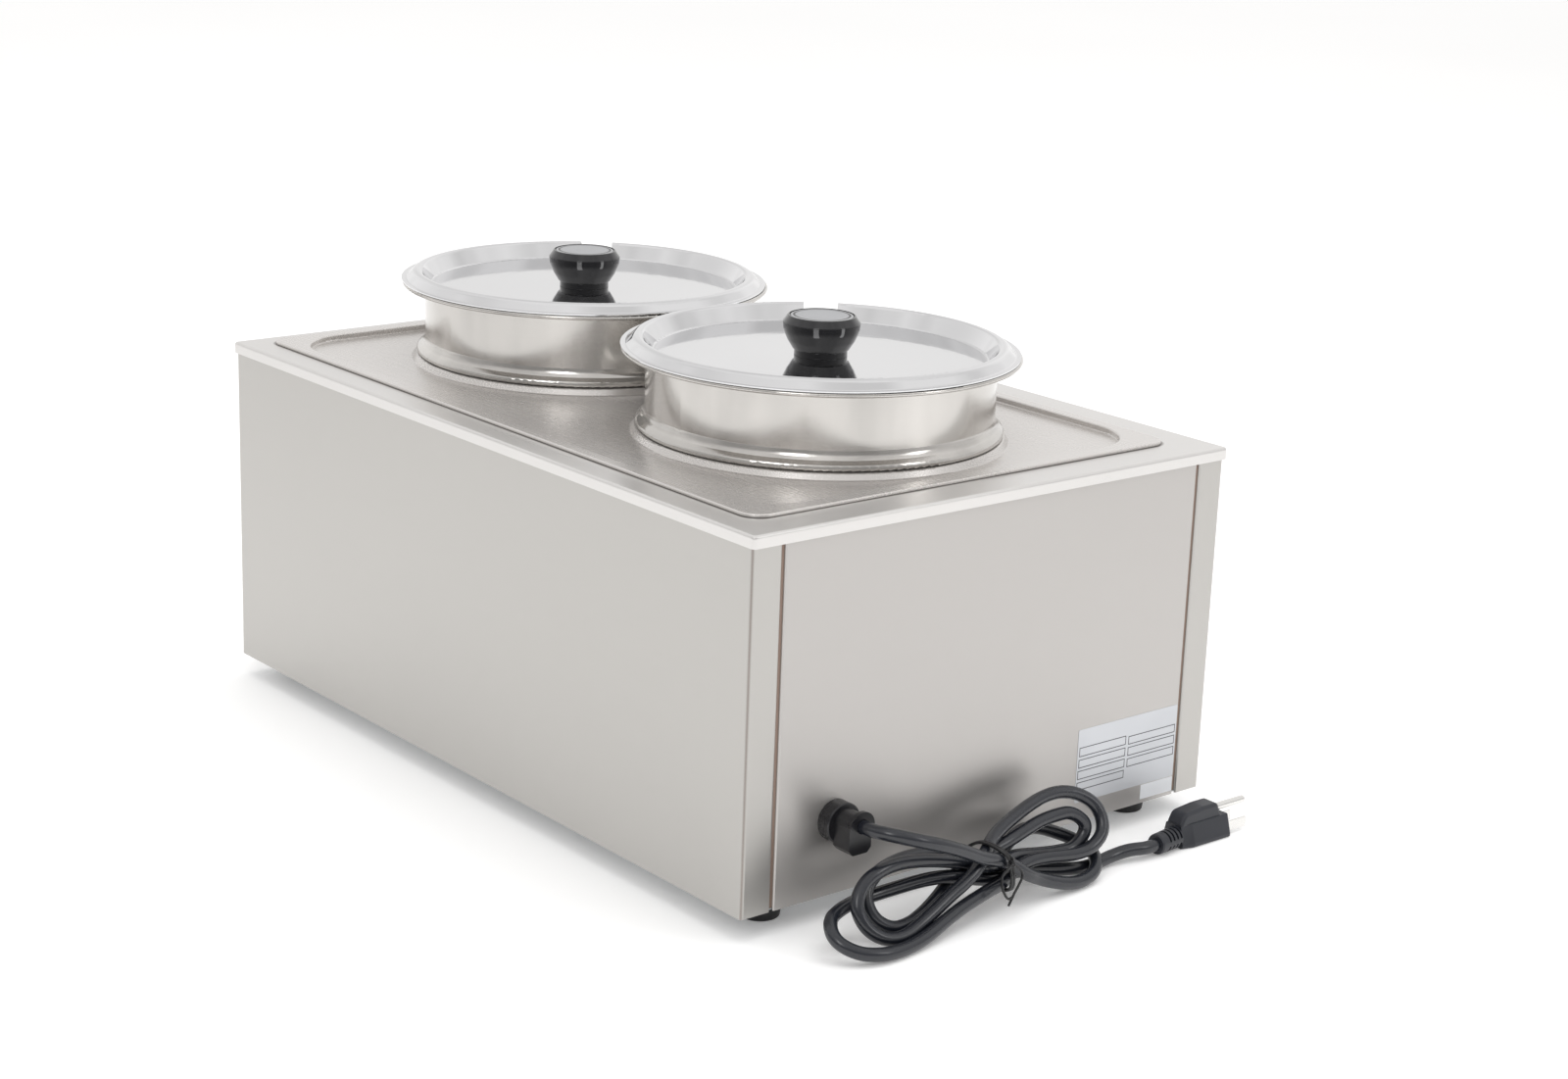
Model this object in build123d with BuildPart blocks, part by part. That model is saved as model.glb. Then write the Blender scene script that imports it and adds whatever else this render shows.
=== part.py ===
from build123d import *
import math
import os

# Countertop food warmer: a stainless housing with a water well, an adapter
# plate with two round holes, two inset pots with notched lids, and a mains
# cord folded into a tied hank behind it.
# +Z up, origin on the ground under the middle of the housing, +Y to the rear
# (the side the cord leaves from), +X to the operator's right. Millimetres.

os.makedirs("parts", exist_ok=True)

# ---------------------------------------------------------------- dimensions
SHEET = 0.8                      # housing sheet

# housing
DECK_W, DECK_D = 370.0, 565.0    # deck outline, X and Y
DECK_TOP = 236.0
LIP = 7.4                        # turned-down lip
WALL_X, WALL_Y = 184.0, 280.2    # outer faces of the side and end walls
WALL_BOTTOM = 15.0
WRAP_X = 163.0                   # where the side panels' wrap ends
END_X = 160.8                    # half width of the rear and front panels
HOOK = 8.8                       # inward edge of wraps and end panels
FLANGE = 10.0                    # bottom flange turned inward
SCREW_X = 178.4                  # line of the bottom screws

# well
WELL_CX, WELL_CY = 2.4, -5.8
WELL_W, WELL_D, WELL_R = 314.0, 512.0, 27.0
WELL_T = 1.0
WELL_FLOOR = 72.0
WELL_BOTTOM_R = 18.0

# adapter plate
PLATE_CX, PLATE_CY = 2.8, -6.0
PLATE_W, PLATE_D, PLATE_R = 325.0, 527.0, 13.0
PLATE_BASE, PLATE_TOP = 236.2, 238.0
FIELD_W, FIELD_D, FIELD_R = 307.0, 505.0, 40.0
FIELD_TOP = 234.2
HOLE_R = 106.3
COLLAR_TOP = 238.2
HOLE_PITCH = 123.6               # each hole from the plate's middle

# pots, lids, knobs (radius, height)
POT_WALL_R = 103.5
POT_NECK_R = 107.0
POT_BEAD_R = 112.6
POT_T = 1.0
POT_FLOOR = 88.0
POT_SEAT = 238.5
POT_SPLIT = 236.4                # cup below, bead, neck and rim above
POT_RIM_TOP = 287.0
POT_RIM_R = 122.1
LID_T = 0.7
LID_R = 121.7
LID_FLOOR = 283.1
NOTCH_W = 22.0
NOTCH_ANGLE = -129.8             # degrees from +X, where the ladle notch points
KNOB_BASE = 283.1
KNOB_TOP = 307.7

POTS = {
    "rear": (PLATE_CX, PLATE_CY + HOLE_PITCH),
    "front": (PLATE_CX, PLATE_CY - HOLE_PITCH),
}
LIDS = {"rear": (3.4, 117.2), "front": (3.2, -131.0)}

# feet
FOOT_X, FOOT_Y = 147.5, 252.0

# controls on the front wall
DIAL_X, DIAL_Z = 0.0, 50.0
LAMP_X, LAMP_Z = 60.0, 50.0

# cord
CORD_R = 4.0
GLAND_X, GLAND_Z = 118.6, 60.5
GLAND_FACE = 303.2
EXIT = (117.0, GLAND_FACE, 63.0)
PLUG_Y = 315.5
PLUG_X0, PLUG_X1 = -125.0, -165.5   # rear and face of the plug
BLADE_Z = 5.6

# the hank leans: its own plane, x along +X, y up the slope, z to the housing
HANK = Plane(origin=(0, 331.3, 4), x_dir=(0.99903, 0.04396, 0), z_dir=(0.0390, -0.8865, -0.4611))


def write(piece, name):
    piece.label = name
    export_step(piece, "parts/" + name + ".step")


def beside(pts, radii, t):
    """The polyline t to the right of pts, and its corner radii."""
    norm = []
    for (ax, ay), (bx, by) in zip(pts, pts[1:]):
        length = math.hypot(bx - ax, by - ay)
        norm.append(((by - ay) / length, -(bx - ax) / length))
    out = [(pts[0][0] + t * norm[0][0], pts[0][1] + t * norm[0][1])]
    new = []
    for i in range(1, len(pts) - 1):
        (nx, ny), (mx, my) = norm[i - 1], norm[i]
        k = t / (1 + nx * mx + ny * my)
        out.append((pts[i][0] + k * (nx + mx), pts[i][1] + k * (ny + my)))
        left = nx * my - ny * mx > 0
        r = radii[i - 1]
        new.append(0 if r == 0 else (r + t if left else max(r - t, 0.1)))
    out.append((pts[-1][0] + t * norm[-1][0], pts[-1][1] + t * norm[-1][1]))
    return out, new


def tube_radii(points):
    """Corner radii of a cord's path: 0.45 of the shorter run over tan(half turn)."""
    out = []
    for a, b, c in zip(points, points[1:], points[2:]):
        p, q = Vector(*b) - Vector(*a), Vector(*c) - Vector(*b)
        half = math.radians(p.get_angle(q)) / 2
        out.append(0.45 * min(p.length, q.length) / math.tan(half))
    return out


# ------------------------------------------------------------------- housing
# deck: flat sheet, lip turned down all round, one large opening
with BuildPart() as top_deck:
    with BuildSketch(Plane.XY.offset(DECK_TOP - LIP)):
        RectangleRounded(DECK_W, DECK_D, 2.5)
    extrude(amount=LIP)
    fillet(top_deck.faces().sort_by(Axis.Z)[-1].edges(), 1.8)
    with BuildSketch(Plane.XY.offset(DECK_TOP - LIP)):
        RectangleRounded(DECK_W - 2 * SHEET, DECK_D - 2 * SHEET, 1.7)
    extrude(amount=LIP - SHEET, mode=Mode.SUBTRACT)
    with BuildSketch(Plane.XY.offset(DECK_TOP - LIP)):
        with Locations((WELL_CX, WELL_CY)):
            RectangleRounded(WELL_W, WELL_D, WELL_R)
    extrude(amount=LIP, mode=Mode.SUBTRACT)
write(top_deck.part, "top_deck")

# well: deep-drawn pan with a flange welded under the deck
deck_under = DECK_TOP - SHEET
with BuildPart() as water_well:
    with BuildSketch(Plane.XY.offset(WELL_FLOOR - WELL_T)):
        with Locations((WELL_CX, WELL_CY)):
            RectangleRounded(WELL_W + 2 * WELL_T, WELL_D + 2 * WELL_T, WELL_R + WELL_T)
    extrude(amount=deck_under - WELL_FLOOR + WELL_T)
    fillet(water_well.faces().sort_by(Axis.Z)[0].edges(), WELL_BOTTOM_R + WELL_T)
    offset(amount=-WELL_T, openings=water_well.faces().sort_by(Axis.Z)[-1])
    with BuildSketch(Plane.XY.offset(deck_under - WELL_T)):
        with Locations((WELL_CX, WELL_CY)):
            RectangleRounded(WELL_W + 24, WELL_D + 24, WELL_R + 12)
            RectangleRounded(WELL_W, WELL_D, WELL_R, mode=Mode.SUBTRACT)
    extrude(amount=WELL_T)
write(water_well.part, "water_well")


def side_panel(sign, name):
    """Long wall wrapped round both corners, hooked edges, bottom flange."""
    s = sign
    pts = [
        (WRAP_X, WALL_Y - HOOK),
        (WRAP_X, WALL_Y),
        (WALL_X, WALL_Y),
        (WALL_X, -WALL_Y),
        (WRAP_X, -WALL_Y),
        (WRAP_X, -WALL_Y + HOOK),
    ]
    radii = [1.5, 2.3, 2.3, 1.5]
    inner, inner_r = beside(pts, radii, SHEET)
    with BuildPart() as panel:
        with BuildSketch(Plane.XY.offset(WALL_BOTTOM)):
            with BuildLine():
                FilletPolyline(*pts, radius=radii)
                Line(pts[-1], inner[-1])
                FilletPolyline(*inner, radius=inner_r)
                Line(inner[0], pts[0])
            make_face()
        extrude(amount=deck_under - WALL_BOTTOM)
        # bottom flange
        with BuildSketch(Plane.XY.offset(WALL_BOTTOM)):
            with Locations((WALL_X - SHEET / 2 - FLANGE / 2, 0)):
                Rectangle(FLANGE, 2 * (WALL_Y - 14))
            with Locations((SCREW_X, 150), (SCREW_X, -150)):
                Circle(1.9, mode=Mode.SUBTRACT)
        extrude(amount=SHEET)
        # the hooked edges stop short of the bottom plate
        with BuildSketch(Plane.XY.offset(WALL_BOTTOM)):
            with Locations((WRAP_X + 0.5, WALL_Y - SHEET - 5), (WRAP_X + 0.5, -WALL_Y + SHEET + 5)):
                Rectangle(3.4, 10)
        extrude(amount=2.4, mode=Mode.SUBTRACT)
    part = panel.part if s > 0 else mirror(panel.part, about=Plane.YZ, mode=Mode.PRIVATE)
    write(part, name)
    return part


side_panel(1, "side_panel_right")
side_panel(-1, "side_panel_left")


def end_panel(holes):
    """Rear wall as drawn at +Y: hooked edges each side and a bottom flange."""
    pts = [
        (-END_X, WALL_Y - HOOK),
        (-END_X, WALL_Y),
        (END_X, WALL_Y),
        (END_X, WALL_Y - HOOK),
    ]
    radii = [1.3, 1.3]
    inner, inner_r = beside(pts, radii, SHEET)
    with BuildPart() as panel:
        with BuildSketch(Plane.XY.offset(WALL_BOTTOM)):
            with BuildLine():
                FilletPolyline(*pts, radius=radii)
                Line(pts[-1], inner[-1])
                FilletPolyline(*inner, radius=inner_r)
                Line(inner[0], pts[0])
            make_face()
        extrude(amount=deck_under - WALL_BOTTOM)
        with BuildSketch(Plane.XY.offset(WALL_BOTTOM)):
            with Locations((0, WALL_Y - SHEET / 2 - FLANGE / 2)):
                Rectangle(2 * (END_X - 12), FLANGE)
        extrude(amount=SHEET)
        with BuildSketch(Plane.XY.offset(WALL_BOTTOM)):
            with Locations((END_X - 0.5, WALL_Y - SHEET - 5), (-END_X + 0.5, WALL_Y - SHEET - 5)):
                Rectangle(3.4, 10)
        extrude(amount=2.4, mode=Mode.SUBTRACT)
        for x, z, r in holes:
            with BuildSketch(Plane(origin=(x, WALL_Y + 1, z), x_dir=(1, 0, 0), z_dir=(0, -1, 0))):
                Circle(r)
            extrude(amount=3, mode=Mode.SUBTRACT)
    return panel.part


write(end_panel([(GLAND_X, GLAND_Z, 10.0)]), "rear_panel")
write(
    mirror(
        end_panel([(DIAL_X, DIAL_Z, 5.2), (LAMP_X, LAMP_Z, 6.6)]),
        about=Plane.XZ,
        mode=Mode.PRIVATE,
    ),
    "front_panel",
)

# bottom plate lies on the walls' flanges
PLATE_Z = WALL_BOTTOM + SHEET
with BuildPart() as bottom_plate:
    with BuildSketch(Plane.XY.offset(PLATE_Z)):
        RectangleRounded(2 * (WALL_X - SHEET) - 0.6, 2 * (WALL_Y - SHEET) - 0.6, 3)
        with GridLocations(2 * FOOT_X, 2 * FOOT_Y, 2, 2):
            Circle(2.2, mode=Mode.SUBTRACT)
        with Locations((100, 205)):
            Circle(2.6, mode=Mode.SUBTRACT)
        with GridLocations(2 * SCREW_X, 300, 2, 2):
            Circle(1.9, mode=Mode.SUBTRACT)
        # vent slots
        with Locations((0, -40), (0, 0), (0, 40)):
            with GridLocations(24, 0, 5, 1):
                SlotOverall(24, 5, rotation=90, mode=Mode.SUBTRACT)
    extrude(amount=SHEET)
write(bottom_plate.part, "bottom_plate")

# screws through the side panels' flanges into the bottom plate
with BuildPart() as bottom_screws:
    with BuildSketch(Plane.XY.offset(WALL_BOTTOM - 1.8)):
        with GridLocations(2 * SCREW_X, 300, 2, 2):
            Circle(3.2)
    extrude(amount=1.8)
    fillet(bottom_screws.edges().filter_by(GeomType.CIRCLE).group_by(Axis.Z)[0], 1.0)
    with BuildSketch(Plane.XY.offset(WALL_BOTTOM)):
        with GridLocations(2 * SCREW_X, 300, 2, 2):
            Circle(1.6)
    extrude(amount=6)
write(bottom_screws.part, "bottom_screws")

# -------------------------------------------------------------- insulation
with BuildPart() as insulation_wrap:
    with BuildSketch(Plane.XY.offset(82)):
        RectangleRounded(2 * 178, 2 * 270, 8)
        with Locations((WELL_CX, WELL_CY)):
            RectangleRounded(WELL_W + 4, WELL_D + 4, WELL_R + 2, mode=Mode.SUBTRACT)
    extrude(amount=144)
write(insulation_wrap.part, "insulation_wrap")

# -------------------------------------------------------------- heating
EL_Z = WELL_FLOOR - WELL_T - 4.2
EL = [
    (-25, -238), (-25, 150), (-70, 150), (-70, -200), (-115, -200), (-115, 195),
    (115, 195), (115, -200), (70, -200), (70, 150), (25, 150), (25, -238),
]
with BuildPart() as heating_element:
    with BuildLine() as el_path:
        FilletPolyline(*[(x, y, EL_Z) for x, y in EL], radius=20)
    with BuildSketch(Plane(origin=el_path.line @ 0, z_dir=el_path.line % 0)):
        Circle(4.0)
    sweep(path=el_path.line)
write(heating_element.part, "heating_element")

# hat-section straps under the element, welded to the well's floor
with BuildPart() as element_clamps:
    with BuildSketch(Plane.XZ):
        with BuildLine():
            Polyline(
                (-136, WELL_FLOOR - WELL_T), (-124, WELL_FLOOR - WELL_T), (-124, EL_Z - 4.2),
                (124, EL_Z - 4.2), (124, WELL_FLOOR - WELL_T), (136, WELL_FLOOR - WELL_T),
                (136, WELL_FLOOR - WELL_T - 1), (125, WELL_FLOOR - WELL_T - 1), (125, EL_Z - 5.2),
                (-125, EL_Z - 5.2), (-125, WELL_FLOOR - WELL_T - 1), (-136, WELL_FLOOR - WELL_T - 1),
                close=True,
            )
        make_face()
    extrude(amount=8, both=True)
clamp = element_clamps.part
with BuildPart() as element_clamps:
    with Locations((0, -150, 0), (0, -20, 0), (0, 110, 0)):
        add(clamp)
write(element_clamps.part, "element_clamps")

# thermostat: body behind the front wall, threaded bush through it
TB_Y = -WALL_Y + SHEET
with BuildPart() as thermostat_body:
    with BuildSketch(Plane(origin=(DIAL_X, TB_Y, DIAL_Z), x_dir=(1, 0, 0), z_dir=(0, 1, 0))):
        RectangleRounded(44, 34, 2)
    extrude(amount=1.5)
    with BuildSketch(Plane(origin=(DIAL_X, TB_Y + 1.5, DIAL_Z), x_dir=(1, 0, 0), z_dir=(0, 1, 0))):
        RectangleRounded(36, 32, 2.5)
    extrude(amount=26)
    fillet(thermostat_body.faces().sort_by(Axis.Y)[-1].edges(), 1.0)
    # bush
    with BuildSketch(Plane(origin=(DIAL_X, TB_Y, DIAL_Z), x_dir=(1, 0, 0), z_dir=(0, -1, 0))):
        Circle(5.0)
    extrude(amount=7.5)
    # shaft bore, blind
    with BuildSketch(Plane(origin=(DIAL_X, TB_Y - 7.5, DIAL_Z), x_dir=(1, 0, 0), z_dir=(0, 1, 0))):
        Circle(3.05)
    extrude(amount=27.5, mode=Mode.SUBTRACT)
    # terminal tabs
    with BuildSketch(Plane(origin=(DIAL_X, TB_Y + 27.5, DIAL_Z), x_dir=(1, 0, 0), z_dir=(0, 1, 0))):
        with Locations((-12, -6), (12, -6)):
            Rectangle(6.3, 0.8)
    extrude(amount=7)
write(thermostat_body.part, "thermostat_body")

with BuildPart() as thermostat_nut:
    with BuildSketch(
        Plane(origin=(DIAL_X, -WALL_Y - 0.5, DIAL_Z), x_dir=(1, 0, 0), z_dir=(0, -1, 0))
    ):
        RegularPolygon(8.0, 6)
        Circle(5.0, mode=Mode.SUBTRACT)
    extrude(amount=3)
write(thermostat_nut.part, "thermostat_nut")

# sensing bulb under the well's floor with its capillary
with BuildPart() as thermostat_bulb:
    with BuildSketch(Plane(origin=(0, -130, WELL_FLOOR - WELL_T - 3.2), x_dir=(1, 0, 0), z_dir=(0, 1, 0))):
        Circle(3.0)
    extrude(amount=100)
    with BuildLine() as cap:
        FilletPolyline(
            (0, -129, WELL_FLOOR - WELL_T - 3.2),
            (0, -190, WELL_FLOOR - WELL_T - 3.4),
            (0, -232, 61),
            (0, TB_Y + 27.6, 57),
            radius=[20, 20],
        )
    with BuildSketch(Plane(origin=cap.line @ 0, z_dir=cap.line % 0)):
        Circle(1.0)
    sweep(path=cap.line)
write(thermostat_bulb.part, "thermostat_bulb")

# dial plate on the front wall
with BuildPart() as dial_plate:
    with BuildSketch(Plane(origin=(23, -WALL_Y, DIAL_Z), x_dir=(1, 0, 0), z_dir=(0, -1, 0))):
        RectangleRounded(124, 66, 4)
        with Locations((DIAL_X - 23, 0)):
            Circle(5.2, mode=Mode.SUBTRACT)
        with Locations((LAMP_X - 23, 0)):
            Circle(6.6, mode=Mode.SUBTRACT)
    extrude(amount=0.5)
write(dial_plate.part, "dial_plate")

# pilot lamp: housing through the wall with a bezel, and its lens
LP = Plane(origin=(LAMP_X, -WALL_Y - 0.5, LAMP_Z), x_dir=(1, 0, 0), z_dir=(0, -1, 0))
with BuildPart() as lamp_housing:
    with BuildSketch(LP):
        Circle(8.4)
    extrude(amount=2.4)
    fillet(lamp_housing.faces().sort_by(Axis.Y)[0].edges(), 0.8)
    with BuildSketch(LP):
        Circle(6.4)
    extrude(amount=-24)
    with BuildSketch(LP.offset(2.4)):
        Circle(5.2)
    extrude(amount=-8, mode=Mode.SUBTRACT)
write(lamp_housing.part, "lamp_housing")

with BuildPart() as lamp_lens:
    with BuildSketch(LP.offset(-5.6)):
        Circle(5.2)
    extrude(amount=9.6)
    fillet(lamp_lens.faces().sort_by(Axis.Y)[0].edges(), 2.2)
write(lamp_lens.part, "lamp_lens")

# ------------------------------------------------------------------- dial
DIAL_FACE = 23.0                 # dial's outer face from the wall
DP = Plane(origin=(DIAL_X, -WALL_Y, DIAL_Z), x_dir=(1, 0, 0), z_dir=(0, -1, 0))
with BuildPart() as control_dial:
    with BuildSketch(DP.offset(1.4)):
        Circle(24.0)
    extrude(amount=3.0)
    chamfer(control_dial.faces().sort_by(Axis.Y)[0].edges(), 0.8)
    with BuildSketch(DP.offset(4.4)):
        Circle(18.0)
    extrude(amount=DIAL_FACE - 1.0 - 4.4, taper=3)
    fillet(control_dial.faces().sort_by(Axis.Y)[0].edges(), 1.4)
    # finger flutes
    with BuildSketch(DP.offset(5.6)):
        with PolarLocations(19.6, 14, start_angle=360 / 28 + 90):
            Circle(2.6)
    extrude(amount=DIAL_FACE, mode=Mode.SUBTRACT)
    # pointer rib
    with BuildSketch(DP.offset(DIAL_FACE - 1.6)):
        with Locations((0, 8.2)):
            RectangleRounded(2.4, 13, 1.0)
    extrude(amount=1.6)
    # hollow back and shaft socket
    with BuildSketch(DP.offset(1.4)):
        Circle(15.0)
    extrude(amount=8.0, mode=Mode.SUBTRACT)
    with BuildSketch(DP.offset(8.2)):
        Circle(6.0)
    extrude(amount=4.0)
    with BuildSketch(DP.offset(5.0)):
        Circle(3.0)
    extrude(amount=13.0, mode=Mode.SUBTRACT)
write(control_dial.part, "control_dial")

with BuildPart() as thermostat_shaft:
    with BuildSketch(DP.offset(-20)):
        Circle(3.0)
    extrude(amount=38)
write(thermostat_shaft.part, "thermostat_shaft")

# ------------------------------------------------------------ electrics
TERM = (55.0, 225.0)
with BuildPart() as terminal_block:
    with BuildSketch(Plane.XY.offset(PLATE_Z + SHEET)):
        with Locations(TERM):
            RectangleRounded(46, 22, 1.5)
    extrude(amount=16)
    fillet(terminal_block.faces().sort_by(Axis.Z)[-1].edges(), 0.8)
    with BuildSketch(Plane.XY.offset(PLATE_Z + SHEET + 16)):
        with Locations(TERM):
            with GridLocations(14, 12, 3, 2):
                Circle(2.4)
    extrude(amount=-3, mode=Mode.SUBTRACT)
write(terminal_block.part, "terminal_block")

with BuildPart() as earth_stud:
    with BuildSketch(Plane.XY.offset(PLATE_Z - 1.5)):
        with Locations((100, 205)):
            Circle(5.0)
    extrude(amount=1.5)
    with BuildSketch(Plane.XY.offset(PLATE_Z)):
        with Locations((100, 205)):
            Circle(2.5)
    extrude(amount=16)
    with BuildSketch(Plane.XY.offset(PLATE_Z + SHEET)):
        with Locations((100, 205)):
            RegularPolygon(4.6, 6)
    extrude(amount=3.6)
write(earth_stud.part, "earth_stud")


def wire(points, r, bend):
    with BuildPart() as w:
        with BuildLine() as p:
            FilletPolyline(*points, radius=bend)
        with BuildSketch(Plane(origin=p.line @ 0, z_dir=p.line % 0)):
            Circle(r)
        sweep(path=p.line)
    return w.part


TZ = PLATE_Z + SHEET + 13.5
GY = 264.2                        # inner end of the gland's shank
wires = [
    # cord's three cores, from the gland to the terminal block and earth stud
    wire([(118.6, GY, 62.2), (118.6, 240, 60), (69, 232.5, 52), (69, 231, TZ)], 1.3, 7),
    wire([(115.6, GY, 59.0), (115, 246, 56), (55, 236, 46), (55, 231, TZ)], 1.3, 7),
    wire([(121.6, GY, 59.0), (122, 236, 52), (108, 205, 44), (104.2, 205, 33)], 1.3, 6),
    # supply runs from the block to the controls, along the bottom plate
    wire([(69, 219, TZ), (69, 217, 42), (76, 190, 30), (130, 150, 26), (132, -170, 26),
          (60, -225, 40), (15.5, -240, 50), (12, TB_Y + 34.6, 44)], 1.3, 7),
    wire([(55, 219, TZ), (55, 216, 46), (60, 180, 34), (124, 140, 31), (126, -160, 31),
          (66, -215, 50), (25, -228, 55), (25, -240, 62)], 1.3, 5),
    wire([(41, 219, TZ), (41, 214, 44), (-30, 170, 28), (-130, 120, 26), (-132, -160, 26),
          (-60, -215, 44), (-27, -228, 52), (-25, -240, 62)], 1.3, 5),
]
with BuildPart() as internal_wiring:
    for w in wires:
        add(w)
write(internal_wiring.part, "internal_wiring")

# ------------------------------------------------------------------- feet
with BuildPart() as foot:
    with BuildSketch():
        Circle(11.6)
    with BuildSketch(Plane.XY.offset(WALL_BOTTOM + SHEET)):
        Circle(14.0)
    loft()
    fillet(foot.edges().filter_by(GeomType.CIRCLE).sort_by(Axis.Z)[0], 1.2)
    with BuildSketch():
        Circle(5.4)
    extrude(amount=7, mode=Mode.SUBTRACT)
    with BuildSketch():
        Circle(2.2)
    extrude(amount=20, mode=Mode.SUBTRACT)
foot_solid = foot.part
for name, x, y in (
    ("foot_front_left", -FOOT_X, -FOOT_Y),
    ("foot_front_right", FOOT_X, -FOOT_Y),
    ("foot_rear_left", -FOOT_X, FOOT_Y),
    ("foot_rear_right", FOOT_X, FOOT_Y),
):
    with BuildPart() as one:
        with Locations((x, y, 0)):
            add(foot_solid)
    write(one.part, name)

with BuildPart() as foot_screws:
    with BuildSketch(Plane.XY.offset(4.4)):
        with GridLocations(2 * FOOT_X, 2 * FOOT_Y, 2, 2):
            Circle(4.2)
    extrude(amount=2.6)
    fillet(foot_screws.edges().filter_by(GeomType.CIRCLE).group_by(Axis.Z)[0], 1.2)
    with BuildSketch(Plane.XY.offset(7)):
        with GridLocations(2 * FOOT_X, 2 * FOOT_Y, 2, 2):
            Circle(2.0)
    extrude(amount=16)
write(foot_screws.part, "foot_screws")

with BuildPart() as foot_nuts:
    with BuildSketch(Plane.XY.offset(PLATE_Z + SHEET)):
        with GridLocations(2 * FOOT_X, 2 * FOOT_Y, 2, 2):
            RegularPolygon(4.0, 6)
            Circle(2.0, mode=Mode.SUBTRACT)
    extrude(amount=3.2)
write(foot_nuts.part, "foot_nuts")

# ---------------------------------------------------------- adapter plate
# stamped sheet: side, rounded rim, land, step down to a sunk field, and a
# raised collar round each hole
with BuildPart() as adapter_plate:
    with BuildSketch(Plane.XY.offset(PLATE_BASE)):
        with Locations((PLATE_CX, PLATE_CY)):
            RectangleRounded(PLATE_W, PLATE_D, PLATE_R)
    extrude(amount=PLATE_TOP - PLATE_BASE)
    fillet(adapter_plate.faces().sort_by(Axis.Z)[-1].edges(), 1.1)
    # hollow under the rim
    with BuildSketch(Plane.XY.offset(PLATE_BASE)):
        with Locations((PLATE_CX, PLATE_CY)):
            RectangleRounded(PLATE_W - 2 * SHEET, PLATE_D - 2 * SHEET, PLATE_R - SHEET)
    extrude(amount=PLATE_TOP - PLATE_BASE - SHEET, mode=Mode.SUBTRACT)
    # sunk field
    with BuildSketch(Plane.XY.offset(FIELD_TOP - SHEET)):
        with Locations((PLATE_CX, PLATE_CY)):
            RectangleRounded(FIELD_W + 2 * SHEET, FIELD_D + 2 * SHEET, FIELD_R + SHEET)
    extrude(amount=PLATE_TOP - FIELD_TOP + SHEET)
    with BuildSketch(Plane.XY.offset(FIELD_TOP)):
        with Locations((PLATE_CX, PLATE_CY)):
            RectangleRounded(FIELD_W, FIELD_D, FIELD_R)
    extrude(amount=PLATE_TOP - FIELD_TOP + 1, mode=Mode.SUBTRACT)
    rim_edges = (
        adapter_plate.edges()
        .filter_by_position(Axis.Z, PLATE_TOP - 0.01, PLATE_TOP + 0.01)
        .filter_by(lambda e: abs(e.center().X - PLATE_CX) < FIELD_W / 2 + 0.5)
        .filter_by(lambda e: abs(e.center().Y - PLATE_CY) < FIELD_D / 2 + 0.5)
    )
    fillet(rim_edges, 1.3)
    floor_edges = adapter_plate.edges().filter_by_position(Axis.Z, FIELD_TOP - 0.01, FIELD_TOP + 0.01)
    fillet(floor_edges, 0.9)
    # round holes
    with BuildSketch(Plane.XY.offset(FIELD_TOP - SHEET - 1)):
        with Locations(*[(x, y) for x, y in POTS.values()]):
            Circle(117.0)
    extrude(amount=3, mode=Mode.SUBTRACT)
plate_base = adapter_plate.part
with BuildPart() as collar_ring:
    with BuildSketch(Plane.XZ):
        with BuildLine():
            FilletPolyline(
                (HOLE_R, COLLAR_TOP), (113.2, COLLAR_TOP), (115.8, FIELD_TOP), (117.8, FIELD_TOP),
                (117.8, FIELD_TOP - SHEET), (115.3, FIELD_TOP - SHEET), (112.8, COLLAR_TOP - SHEET),
                (HOLE_R, COLLAR_TOP - SHEET),
                radius=[0, 1.2, 0.9, 0, 0, 1.0, 0.6, 0][1:7],
            )
            Line((HOLE_R, COLLAR_TOP - SHEET), (HOLE_R, COLLAR_TOP))
        make_face()
    revolve(axis=Axis.Z)
with BuildPart() as adapter_plate:
    add(plate_base)
    with Locations(*[(x, y, 0) for x, y in POTS.values()]):
        add(collar_ring.part)
write(adapter_plate.part, "adapter_plate")

# ------------------------------------------------------------------- pots
POT_OUT = [
    (0, POT_FLOOR), (POT_WALL_R, POT_FLOOR), (POT_WALL_R, POT_SEAT), (POT_BEAD_R, POT_SEAT),
    (POT_BEAD_R, POT_SEAT + 3.2), (POT_NECK_R, POT_SEAT + 8.2), (POT_NECK_R, POT_RIM_TOP - 1.5),
    (120.0, POT_RIM_TOP - 1.5),
]
POT_OUT_R = [10, 1.2, 1.5, 2.4, 7.0, 3.2]
POT_IN = [
    (0, POT_FLOOR + POT_T), (POT_WALL_R - POT_T, POT_FLOOR + POT_T),
    (POT_WALL_R - POT_T, POT_SEAT + POT_T), (POT_BEAD_R - POT_T, POT_SEAT + POT_T),
    (POT_BEAD_R - POT_T, POT_SEAT + 2.8), (POT_NECK_R - POT_T, POT_SEAT + 7.8),
    (POT_NECK_R - POT_T, POT_RIM_TOP - 0.6), (120.0, POT_RIM_TOP - 0.6),
]
POT_IN_R = [9, 1.6, 0.7, 1.4, 8.0, 4.2]
with BuildPart() as pot:
    with BuildSketch(Plane.XZ):
        with BuildLine():
            FilletPolyline(*POT_OUT, radius=POT_OUT_R)
            Line(POT_OUT[-1], POT_IN[-1])
            FilletPolyline(*POT_IN, radius=POT_IN_R)
            Line(POT_IN[0], POT_OUT[0])
        make_face()
    revolve(axis=Axis.Z)
    with BuildSketch(Plane.XZ):
        with Locations((POT_RIM_R - 1.35, POT_RIM_TOP - 1.35)):
            Circle(1.35)
    revolve(axis=Axis.Z)
pot_solid = pot.part
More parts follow.
